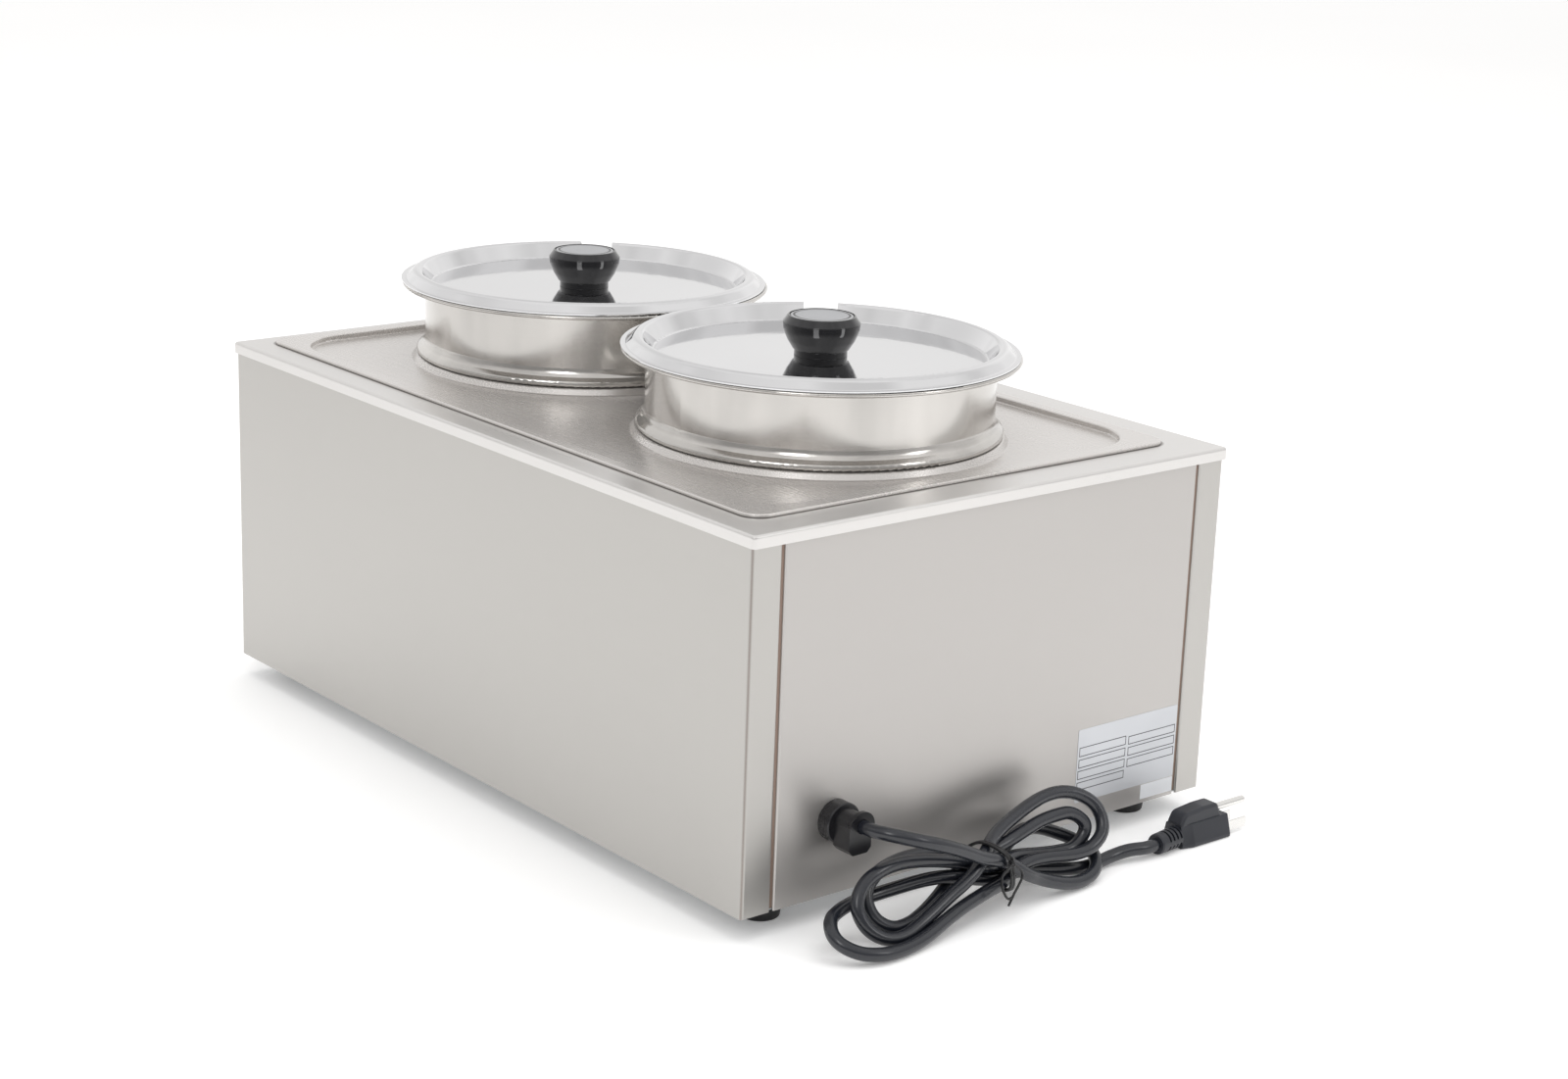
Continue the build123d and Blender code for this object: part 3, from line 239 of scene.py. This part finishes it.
def steel(name, col, rough, grain, grain_r=0.05, blotch=(7, 7, 7), blotch_c=0.035, blotch_r=0.06,
          bump_s=0.05, wave=0.0, wave_scale=(9, 9, 9), seed=0.0, aniso=0.0, bend_shade=False, rim_shadow=False, metal=0.92):
    """Satin sheet: fine grain along one way, soft blotches in tone and gloss, rare scuffs."""
    mat, nodes, links, bsdf, co = new_mat(name)
    g = noise(nodes, links, co, grain, 1.0, 2.0, 0.6, (seed, seed, seed))
    b = noise(nodes, links, co, blotch, 1.0, 3.0, 0.55, (seed, 3.1, 1.7))
    fine = noise(nodes, links, co, (60, 60, 60), 1.0, 4.0, 0.7, (2.2, seed, 0))
    col_f = op(nodes, links, "ADD", op(nodes, links, "MULTIPLY", b, 0.82), op(nodes, links, "MULTIPLY", g, 0.18))
    tone = ramp(nodes, links, col_f, [(0.25, shade(col, 1 - blotch_c)), (0.5, col), (0.75, shade(col, 1 + blotch_c))])
    if bend_shade:
        # painted shade and reflection at the bent corner of the wrap: a strip a shade darker and warmer
        sep = nodes.new("ShaderNodeSeparateXYZ")
        links.new(co, sep.inputs[0])
        ax = op(nodes, links, "ABSOLUTE", sep.outputs["X"], 0)
        ay = op(nodes, links, "ABSOLUTE", sep.outputs["Y"], 0)
        mask = op(nodes, links, "MULTIPLY", span(nodes, links, ax, 0, 1, 0.1823, 0.1832),
                  span(nodes, links, ay, 0, 1, 0.2786, 0.2795))
        dark = nodes.new("ShaderNodeMixRGB")
        links.new(op(nodes, links, "MULTIPLY", mask, 0.8), dark.inputs["Fac"])
        links.new(tone, dark.inputs["Color1"])
        links.new(ramp(nodes, links, g, [(0.3, (0.20, 0.165, 0.15)), (0.7, (0.27, 0.235, 0.215))]), dark.inputs["Color2"])
        tone = dark.outputs["Color"]
    if rim_shadow:
        # painted shadow on the deck: the dark line all round the adapter plate's rim, where the rim overhangs the deck
        mid = nodes.new("ShaderNodeVectorMath")
        mid.operation = "SUBTRACT"
        mid.inputs[1].default_value = (0.0028, -0.006, 0.2)
        links.new(co, mid.inputs[0])
        size = nodes.new("ShaderNodeVectorMath")
        size.operation = "ABSOLUTE"
        links.new(mid.outputs[0], size.inputs[0])
        past = nodes.new("ShaderNodeVectorMath")
        past.operation = "SUBTRACT"
        past.inputs[1].default_value = (0.1625 - 0.013, 0.2635 - 0.013, 1.0)
        links.new(size.outputs[0], past.inputs[0])
        clip = nodes.new("ShaderNodeVectorMath")
        clip.operation = "MAXIMUM"
        clip.inputs[1].default_value = (0, 0, 0)
        links.new(past.outputs[0], clip.inputs[0])
        away = nodes.new("ShaderNodeVectorMath")
        away.operation = "LENGTH"
        links.new(clip.outputs[0], away.inputs[0])
        edge = nodes.new("ShaderNodeMixRGB")
        links.new(span(nodes, links, away.outputs["Value"], 0.85, 0.0, 0.0136, 0.0152), edge.inputs["Fac"])
        links.new(tone, edge.inputs["Color1"])
        links.new(ramp(nodes, links, g, [(0.3, (0.10, 0.085, 0.075)), (0.7, (0.15, 0.13, 0.115))]), edge.inputs["Color2"])
        tone = edge.outputs["Color"]
    links.new(tone, bsdf.inputs["Base Color"])
    bsdf.inputs["Anisotropic"].default_value = aniso
    bsdf.inputs["Anisotropic Rotation"].default_value = 0.25
    r = op(nodes, links, "ADD", span(nodes, links, g, rough - grain_r / 2, rough + grain_r / 2),
           op(nodes, links, "ADD", span(nodes, links, b, -blotch_r / 2, blotch_r / 2),
              span(nodes, links, fine, 0.0, 0.02, 0.6, 0.8)))
    links.new(r, bsdf.inputs["Roughness"])
    bsdf.inputs["Metallic"].default_value = metal
    h = op(nodes, links, "MULTIPLY", g, 0.2)
    if wave:
        wv = noise(nodes, links, co, wave_scale, 1.0, 1.0, 0.4, (seed, 0.4, 5.0))
        h = op(nodes, links, "ADD", h, op(nodes, links, "MULTIPLY", wv, wave))
    bump(nodes, links, bsdf, h, bump_s, 0.0006)
    return mat


def spun(name, col, rough, centre, ring=900.0, blotch=(16, 16, 3), blotch_c=0.06, blotch_r=0.08, wave=0.0,
         wave_scale=(22, 22, 4), seed=0.0, metal=1.0):
    """Spun sheet: rings round the axis, streaks up the wall."""
    mat, nodes, links, bsdf, co = new_mat(name)
    sub = nodes.new("ShaderNodeVectorMath")
    sub.operation = "SUBTRACT"
    sub.inputs[1].default_value = (centre[0] * MM, centre[1] * MM, 0)
    links.new(co, sub.inputs[0])
    flat = nodes.new("ShaderNodeVectorMath")
    flat.operation = "MULTIPLY"
    flat.inputs[1].default_value = (1, 1, 0)
    links.new(sub.outputs[0], flat.inputs[0])
    ln = nodes.new("ShaderNodeVectorMath")
    ln.operation = "LENGTH"
    links.new(flat.outputs[0], ln.inputs[0])
    sep = nodes.new("ShaderNodeSeparateXYZ")
    links.new(sub.outputs[0], sep.inputs[0])
    rz = op(nodes, links, "ADD", ln.outputs["Value"], sep.outputs["Z"])
    ringn = nodes.new("ShaderNodeTexNoise")
    ringn.noise_dimensions = "1D"
    ringn.inputs["Scale"].default_value = ring
    ringn.inputs["Detail"].default_value = 2.0
    links.new(rz, ringn.inputs["W"])
    g = ringn.outputs["Fac"]
    b = noise(nodes, links, sub.outputs[0], blotch, 1.0, 3.0, 0.55, (seed, 1.3, 0.7))
    fine = noise(nodes, links, co, (70, 70, 70), 1.0, 4.0, 0.7, (seed, seed, 0))
    col_f = op(nodes, links, "ADD", op(nodes, links, "MULTIPLY", b, 0.8), op(nodes, links, "MULTIPLY", g, 0.2))
    links.new(
        ramp(nodes, links, col_f, [(0.25, shade(col, 1 - blotch_c)), (0.5, col), (0.75, shade(col, 1 + blotch_c))]),
        bsdf.inputs["Base Color"],
    )
    r = op(nodes, links, "ADD", span(nodes, links, g, rough - 0.02, rough + 0.03),
           op(nodes, links, "ADD", span(nodes, links, b, -blotch_r / 2, blotch_r / 2),
              span(nodes, links, fine, 0.0, 0.04, 0.6, 0.8)))
    links.new(op(nodes, links, "MAXIMUM", r, 0.03), bsdf.inputs["Roughness"])
    bsdf.inputs["Metallic"].default_value = metal
    h = op(nodes, links, "MULTIPLY", g, 0.06)
    if wave:
        wv = noise(nodes, links, sub.outputs[0], wave_scale, 1.0, 1.0, 0.4, (seed, 0.4, 5.0))
        h = op(nodes, links, "ADD", h, op(nodes, links, "MULTIPLY", wv, wave))
    bump(nodes, links, bsdf, h, 0.15, 0.0006)
    return mat


def moulded(name, col, rough, var=0.15, r_var=0.08, size=900.0, bump_s=0.12, coat=0.0, spec=0.5, wear=0.0):
    """Moulded plastic or rubber: fine skin, faint clouding, a little dust or rub."""
    mat, nodes, links, bsdf, co = new_mat(name)
    cloud = noise(nodes, links, co, (28, 28, 28), 1.0, 4.0, 0.6)
    skin = noise(nodes, links, co, (size, size, size), 1.0, 2.0, 0.5)
    rub = noise(nodes, links, co, (140, 140, 140), 1.0, 5.0, 0.75, (4, 1, 2))
    stops = [(0.25, shade(col, 1 - var)), (0.5, col), (0.75, shade(col, 1 + var))]
    links.new(ramp(nodes, links, cloud, stops), bsdf.inputs["Base Color"])
    r = op(nodes, links, "ADD", span(nodes, links, cloud, rough - r_var / 2, rough + r_var / 2),
           span(nodes, links, rub, 0.0, 0.06 + wear, 0.55, 0.8))
    links.new(r, bsdf.inputs["Roughness"])
    bsdf.inputs["Specular IOR Level"].default_value = spec
    bsdf.inputs["Coat Weight"].default_value = coat
    bsdf.inputs["Coat Roughness"].default_value = 0.06
    bump(nodes, links, bsdf, skin, bump_s, 0.00005)
    return mat


SIDE = (0.497, 0.484, 0.463)
END = (0.522, 0.503, 0.486)
M = {}
# the side panels carry a painted shade and reflection at their bent corners
M["side"] = steel("steel_side", SIDE, 0.33, (2200, 14, 2200), seed=1.0, aniso=0.55, bend_shade=True)
M["end"] = steel("steel_end", END, 0.37, (14, 2200, 2200), seed=2.0, blotch=(6, 6, 5), aniso=0.6, metal=0.78)
# the deck carries a painted shadow line round the adapter plate's rim
M["deck"] = steel("steel_deck", (0.70, 0.685, 0.67), 0.31, (2200, 14, 2200), seed=3.0, metal=0.72, bump_s=0.015, grain_r=0.02, rim_shadow=True)
M["plate"] = steel("steel_plate", (0.66, 0.635, 0.615), 0.27, (2200, 14, 2200), seed=4.0, metal=0.68, bump_s=0.015, wave=0.4, grain_r=0.02, blotch_c=0.015, wave_scale=(14, 8, 14), blotch_r=0.03)
# dark brown: painted shade and reflection inside the corner grooves
M["groove"] = steel("steel_folded_edge_painted_shade", (0.26, 0.19, 0.155), 0.42, (2200, 2200, 14), seed=13.0, metal=0.55)
M["well"] = steel("steel_well", (0.64, 0.625, 0.61), 0.28, (60, 60, 500), seed=5.0, metal=0.8)
M["galv"] = steel("steel_galvanised", (0.50, 0.52, 0.53), 0.42, (90, 90, 90), blotch=(45, 45, 45), blotch_c=0.18, blotch_r=0.2, seed=6.0)
M["element"] = steel("steel_element", (0.22, 0.20, 0.19), 0.42, (200, 200, 200), blotch=(30, 30, 30), blotch_c=0.3, blotch_r=0.15, seed=7.0)
M["zinc"] = steel("steel_zinc", (0.66, 0.66, 0.62), 0.22, (400, 400, 400), blotch=(80, 80, 80), blotch_c=0.1, seed=8.0)
M["prong"] = steel("steel_prong", (0.80, 0.79, 0.77), 0.20, (30, 600, 600), blotch=(60, 60, 60), seed=9.0)
M["copper"] = steel("copper_bulb", (0.72, 0.38, 0.24), 0.28, (40, 400, 400), blotch=(40, 40, 40), blotch_c=0.18, seed=10.0)
POT_C = {"rear": (2.8, 117.6), "front": (2.8, -129.6)}
LID_C = {"rear": (3.4, 117.2), "front": (3.2, -131.0)}
for k, s in (("rear", 11.0), ("front", 17.0)):
    M["pot_" + k] = spun("steel_pot_" + k, (0.60, 0.58, 0.555), 0.15, POT_C[k], ring=2500.0, blotch=(24, 24, 5),
                         blotch_c=0.22, blotch_r=0.12, wave=2.4, wave_scale=(24, 24, 5), seed=s, metal=0.84)
    M["lid_" + k] = spun("steel_lid_" + k, (0.715, 0.715, 0.725), 0.06, LID_C[k], ring=260.0, blotch=(6, 6, 6),
                         blotch_c=0.03, blotch_r=0.03, wave=0.25, wave_scale=(9, 9, 9), seed=s + 2)
M["phenolic"] = moulded("phenolic_black", (0.006, 0.006, 0.008), 0.06, r_var=0.02, size=500, bump_s=0.015, coat=0.35, spec=0.5)
M["black"] = moulded("plastic_black", (0.016, 0.016, 0.017), 0.30, bump_s=0.25)
M["gland"] = moulded("plastic_gland", (0.010, 0.010, 0.012), 0.30, bump_s=0.2)
M["rubber"] = moulded("rubber_black", (0.012, 0.012, 0.013), 0.50, bump_s=0.4, wear=0.08)
M["cord"] = moulded("cord_jacket", (0.012, 0.014, 0.020), 0.25, r_var=0.06, size=1400, bump_s=0.03, spec=0.7)
M["plug"] = moulded("plug_moulding", (0.020, 0.022, 0.029), 0.40, r_var=0.10, size=1400, bump_s=0.2)
M["tie"] = moulded("tie_coating", (0.010, 0.010, 0.011), 0.28, size=600)
M["ceramic"] = moulded("ceramic_glaze", (0.80, 0.77, 0.70), 0.16, var=0.06, size=300, bump_s=0.1, coat=0.5)
M["bakelite"] = moulded("phenolic_brown", (0.07, 0.032, 0.018), 0.30, var=0.25, size=500)
M["wire"] = moulded("wire_insulation", (0.30, 0.05, 0.03), 0.42, var=0.2, size=900)
M["insulation"] = moulded("mineral_blanket", (0.72, 0.69, 0.60), 0.90, var=0.18, size=260, bump_s=1.0, spec=0.1)
M["label_white"] = moulded("label_film_white", (0.82, 0.84, 0.87), 0.42, var=0.03, size=200, bump_s=0.05)
M["ink"] = moulded("label_ink", (0.035, 0.038, 0.045), 0.45, var=0.3, size=800, bump_s=0.05)
M["white_ink"] = moulded("scale_ink", (0.80, 0.80, 0.78), 0.45, var=0.05, size=800, bump_s=0.05)


def silver_film(name):
    mat, nodes, links, bsdf, co = new_mat(name)
    b = noise(nodes, links, co, (20, 20, 20), 1.0, 3.0, 0.5)
    g = noise(nodes, links, co, (30, 900, 900), 1.0, 2.0, 0.5)
    links.new(ramp(nodes, links, b, [(0.3, (0.60, 0.615, 0.645)), (0.7, (0.66, 0.675, 0.705))]), bsdf.inputs["Base Color"])
    links.new(span(nodes, links, g, 0.34, 0.42), bsdf.inputs["Roughness"])
    bsdf.inputs["Metallic"].default_value = 0.35
    bump(nodes, links, bsdf, g, 0.1, 0.00003)
    return mat


def amber(name):
    mat, nodes, links, bsdf, co = new_mat(name)
    b = noise(nodes, links, co, (120, 120, 120), 1.0, 2.0, 0.5)
    links.new(ramp(nodes, links, b, [(0.3, (0.62, 0.16, 0.01)), (0.7, (0.80, 0.26, 0.02))]), bsdf.inputs["Base Color"])
    links.new(span(nodes, links, b, 0.08, 0.16), bsdf.inputs["Roughness"])
    bsdf.inputs["Transmission Weight"].default_value = 0.35
    bsdf.inputs["IOR"].default_value = 1.49
    flute = noise(nodes, links, co, (700, 20, 700), 1.0, 1.0, 0.5)
    bump(nodes, links, bsdf, flute, 0.3, 0.0002)
    return mat


def inlay(name, centre):
    """Satin disc of the knob: fine rings, dark groove near the edge."""
    mat, nodes, links, bsdf, co = new_mat(name)
    sub = nodes.new("ShaderNodeVectorMath")
    sub.operation = "SUBTRACT"
    sub.inputs[1].default_value = (centre[0] * MM, centre[1] * MM, 0)
    links.new(co, sub.inputs[0])
    flat = nodes.new("ShaderNodeVectorMath")
    flat.operation = "MULTIPLY"
    flat.inputs[1].default_value = (1, 1, 0)
    links.new(sub.outputs[0], flat.inputs[0])
    ln = nodes.new("ShaderNodeVectorMath")
    ln.operation = "LENGTH"
    links.new(flat.outputs[0], ln.inputs[0])
    ring = nodes.new("ShaderNodeTexNoise")
    ring.noise_dimensions = "1D"
    ring.inputs["Scale"].default_value = 1600.0
    ring.inputs["Detail"].default_value = 2.0
    links.new(ln.outputs["Value"], ring.inputs["W"])
    pos = nodes.new("ShaderNodeMapRange")
    pos.inputs["From Min"].default_value = 0.0
    pos.inputs["From Max"].default_value = 0.020
    links.new(ln.outputs["Value"], pos.inputs["Value"])
    b = noise(nodes, links, co, (90, 90, 90), 1.0, 3.0, 0.5)
    base = ramp(nodes, links, pos.outputs["Result"], [
        (0.0, (0.46, 0.468, 0.485)), (0.80, (0.46, 0.468, 0.485)), (0.83, (0.05, 0.05, 0.052)),
        (0.87, (0.05, 0.05, 0.052)), (0.90, (0.50, 0.506, 0.52)),
    ])
    mix = nodes.new("ShaderNodeMixRGB")
    mix.blend_type = "MULTIPLY"
    mix.inputs["Fac"].default_value = 0.25
    links.new(base, mix.inputs["Color1"])
    links.new(ramp(nodes, links, b, [(0.3, (0.8, 0.8, 0.8)), (0.7, (1, 1, 1))]), mix.inputs["Color2"])
    links.new(mix.outputs["Color"], bsdf.inputs["Base Color"])
    bsdf.inputs["Metallic"].default_value = 0.9
    links.new(span(nodes, links, ring.outputs["Fac"], 0.30, 0.42), bsdf.inputs["Roughness"])
    bump(nodes, links, bsdf, ring.outputs["Fac"], 0.2, 0.00005)
    return mat


M["label_silver"] = silver_film("label_film_silver")
M["dial_plate"] = steel("dial_plate_film", (0.10, 0.10, 0.105), 0.36, (9, 500, 500), blotch_c=0.08, seed=12.0)
M["lens"] = amber("lens_amber")
for k in ("rear", "front"):
    M["inlay_" + k] = inlay("knob_inlay_" + k, LID_C[k])

LOOK = {
    "side_panel_left": "side", "side_panel_right": "side", "rear_panel": "end", "front_panel": "end",
    "top_deck": "deck", "adapter_plate": "plate", "water_well": "well", "bottom_plate": "galv",
    "element_clamps": "galv", "heating_element": "element", "insulation_wrap": "insulation",
    "thermostat_bulb": "copper", "thermostat_body": "bakelite", "terminal_block": "ceramic",
    "internal_wiring": "wire", "control_dial": "phenolic", "dial_plate": "dial_plate",
    "lamp_housing": "black", "lamp_lens": "lens", "cord_gland": "gland", "gland_locknut": "gland",
    "plug_body": "plug", "plug_strain_relief": "plug", "plug_prongs": "prong",
    "rating_label": "label_silver", "small_label": "label_white",
    "foot_front_left": "rubber", "foot_front_right": "rubber", "foot_rear_left": "rubber",
    "foot_rear_right": "rubber", "cord_lead": "cord", "cord_hank": "cord", "cord_tail": "cord",
    "twist_tie": "tie",
}
for k in ("rear", "front"):
    LOOK["pot_" + k] = LOOK["pot_collar_" + k] = "pot_" + k
    LOOK["lid_" + k] = "lid_" + k
    LOOK["knob_" + k] = "phenolic"
    LOOK["knob_inlay_" + k] = "inlay_" + k


def wear(obj, mat):
    obj.data.materials.clear()
    obj.data.materials.append(mat)


for name, obj in NODES.items():
    mats = obj.data.materials
    mat = M[LOOK.get(name, "zinc")]
    for i in range(len(mats)):
        mats[i] = mat
    if not len(mats):
        mats.append(mat)
wear(mains_cord, M["cord"])
for piece in (tie_ring, tie_a, tie_b, tie_knot):
    wear(piece, M["tie"])

# ------------------------------------------------------------ small pieces
def mesh_piece(name, build, mat, body):
    bm = bmesh.new()
    build(bm)
    me = bpy.data.meshes.new(name)
    bm.to_mesh(me)
    bm.free()
    obj = link(bpy.data.objects.new(name, me))
    me.materials.append(mat)
    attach(obj, body)
    return obj


def bar(bm, x0, x1, z0, z1, y0, y1):
    """A thin raised bar on the rear or front wall, in millimetres."""
    vs = [bm.verts.new((x * MM, y * MM, z * MM)) for x in (x0, x1) for y in (y0, y1) for z in (z0, z1)]
    for f in ((0, 1, 3, 2), (4, 6, 7, 5), (0, 4, 5, 1), (2, 3, 7, 6), (0, 2, 6, 4), (1, 5, 7, 3)):
        bm.faces.new([vs[i] for i in f])
    bmesh.ops.recalc_face_normals(bm, faces=bm.faces[:])


RULED = [
    (-75.0, -115.1, 62.9, 57.0), (-74.9, -115.1, 55.2, 49.7), (-74.6, -115.1, 48.0, 42.4),
    (-74.4, -115.0, 40.6, 35.4), (-117.3, -158.4, 61.9, 56.5), (-117.3, -158.4, 54.8, 49.1),
    (-117.2, -158.4, 47.4, 41.8),
]


def rulings(bm):
    w = 0.5
    for xa, xb, zt, zb in RULED:
        for x0, x1, z0, z1 in ((xb, xa, zt - w, zt), (xb, xa, zb, zb + w), (xa - w, xa, zb, zt), (xb, xb + w, zb, zt)):
            bar(bm, x0, x1, z0, z1, 280.4, 280.43)


mesh_piece("label_rulings", rulings, M["ink"], "housing")


def groove_strips(bm):
    """The inner panel's folded edge, seen at the bottom of each corner groove; its dark brown tone is painted shade
    and reflection in the groove.
    """
    for sx in (-1, 1):
        for sy in (-1, 1):
            bar(bm, sx * 160.7, sx * 163.1, 16.5, 228.0, sy * 277.2, sy * 278.9)


mesh_piece("groove_strips", groove_strips, M["groove"], "housing")


def text_piece(name, items, size, mat, y, body):
    """Plain characters standing on the front wall, as one mesh."""
    bm = bmesh.new()
    for body_text, x, z in items:
        curve = bpy.data.curves.new("t", "FONT")
        curve.body = body_text
        curve.size = size * MM
        curve.align_x = "CENTER"
        curve.align_y = "CENTER"
        curve.extrude = 0.00004
        tmp = bpy.data.objects.new("t", curve)
        link(tmp)
        bpy.context.view_layer.update()
        me = bpy.data.meshes.new_from_object(tmp)
        me.transform(Matrix.Translation((x * MM, y * MM, z * MM)) @ Matrix.Rotation(math.radians(90), 4, "X"))
        bm.from_mesh(me)
        bpy.data.objects.remove(tmp)
        bpy.data.meshes.remove(me)
        bpy.data.curves.remove(curve)
    me = bpy.data.meshes.new(name)
    bm.to_mesh(me)
    bm.free()
    obj = link(bpy.data.objects.new(name, me))
    me.materials.append(mat)
    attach(obj, body)
    return obj


SCALE_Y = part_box("dial_plate")[0].y / MM
marks = []
for k, t in enumerate(("OFF", "1", "2", "3", "4", "5", "6")):
    a = math.radians(90 - 45 * k)
    marks.append((t, 29.2 * math.cos(a), 50 + 29.2 * math.sin(a)))
text_piece("dial_numbers", marks, 5.2, M["white_ink"], SCALE_Y - 0.05, "housing")


def ticks(bm):
    for k in range(37):
        a = math.radians(90 - 7.5 * k)
        if k % 6 == 0:
            r0, r1, w = 24.6, 26.2, 0.35
        else:
            r0, r1, w = 24.8, 25.8, 0.2
        d = Vector((math.cos(a), 0, math.sin(a)))
        n = Vector((-math.sin(a), 0, math.cos(a)))
        c = Vector((0, SCALE_Y - 0.04, 50))
        quad = [c + d * r0 + n * w, c + d * r1 + n * w, c + d * r1 - n * w, c + d * r0 - n * w]
        bm.faces.new([bm.verts.new(q * MM) for q in quad])
    bmesh.ops.recalc_face_normals(bm, faces=bm.faces[:])


mesh_piece("dial_ticks", ticks, M["white_ink"], "housing")
DIAL_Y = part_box("control_dial")[0].y / MM
mesh_piece("dial_pointer", lambda bm: bar(bm, -0.6, 0.6, 53.2, 63.2, DIAL_Y - 0.04, DIAL_Y + 0.02), M["white_ink"], "dial")

# ------------------------------------------------------------ stage, light
def floor_mat():
    mat, nodes, links, bsdf, co = new_mat("studio_floor")
    b = noise(nodes, links, co, (0.7, 0.7, 0.7), 1.0, 2.0, 0.5)
    links.new(ramp(nodes, links, b, [(0.3, (0.93, 0.93, 0.93)), (0.7, (0.95, 0.95, 0.95))]), bsdf.inputs["Base Color"])
    bsdf.inputs["Roughness"].default_value = 0.9
    bsdf.inputs["Emission Color"].default_value = (1.0, 1.0, 1.0, 1.0)
    bsdf.inputs["Emission Strength"].default_value = 0.16
    bsdf.inputs["Specular IOR Level"].default_value = 0.1
    return mat


me = bpy.data.meshes.new("studio_floor")
bm = bmesh.new()
bmesh.ops.create_circle(bm, cap_ends=True, segments=96, radius=26.0)
bm.to_mesh(me)
bm.free()
floor = link(bpy.data.objects.new("studio_floor", me))
me.materials.append(floor_mat())


def area(name, size, power, loc, target, col=(1, 1, 1), size_y=None):
    data = bpy.data.lights.new(name, "AREA")
    data.energy = power
    data.size = size
    if size_y:
        data.shape = "RECTANGLE"
        data.size_y = size_y
    data.color = col
    obj = link(bpy.data.objects.new(name, data))
    obj.location = loc
    obj.rotation_euler = (Vector(target) - Vector(loc)).to_track_quat("-Z", "Y").to_euler()
    return obj


top = area("softbox_top", 2.8, 30.0, (-0.2, 0.2, 2.5), (0, 0, 0))
top.visible_glossy = False
area("softbox_key", 0.8, 10.0, (2.1, 1.5, 1.9), (0, 0, 0.1), size_y=1.2)
area("softbox_side", 0.5, 5.0, (-1.2, 2.3, 1.5), (0, 0.1, 0.1), size_y=0.9)

world = bpy.data.worlds.new("studio")
scene.world = world
world.use_nodes = True
wn, wl = world.node_tree.nodes, world.node_tree.links
wn.clear()
out = wn.new("ShaderNodeOutputWorld")
bg = wn.new("ShaderNodeBackground")
wl.new(bg.outputs[0], out.inputs["Surface"])
co = wn.new("ShaderNodeTexCoord").outputs["Generated"]
patch = noise(wn, wl, co, (2.6, 2.6, 0.7), 1.0, 1.5, 0.5, (0.3, 1.9, 0.0))
far = wn.new("ShaderNodeVectorMath")
far.operation = "DOT_PRODUCT"
far.inputs[1].default_value = (-0.64, -0.77, 0.0)
wl.new(co, far.inputs[0])
up = wn.new("ShaderNodeSeparateXYZ")
wl.new(co, up.inputs[0])
wall = span(wn, wl, far.outputs["Value"], 0.30, 1.0, -1.0, 0.9)
high = span(wn, wl, up.outputs["Z"], 0.0, 1.0, 0.38, 0.64)
low = op(wn, wl, "MULTIPLY", wall, op(wn, wl, "SUBTRACT", 1.0, high))
tone = op(wn, wl, "ADD", low, op(wn, wl, "MULTIPLY", high, 0.93))
tone = op(wn, wl, "MULTIPLY", tone, span(wn, wl, patch, 0.86, 1.08, 0.36, 0.62))
bg.inputs["Color"].default_value = (1.0, 0.993, 0.985, 1)
wl.new(tone, bg.inputs["Strength"])
scene.view_settings.view_transform = "Standard"
scene.view_settings.look = "None"
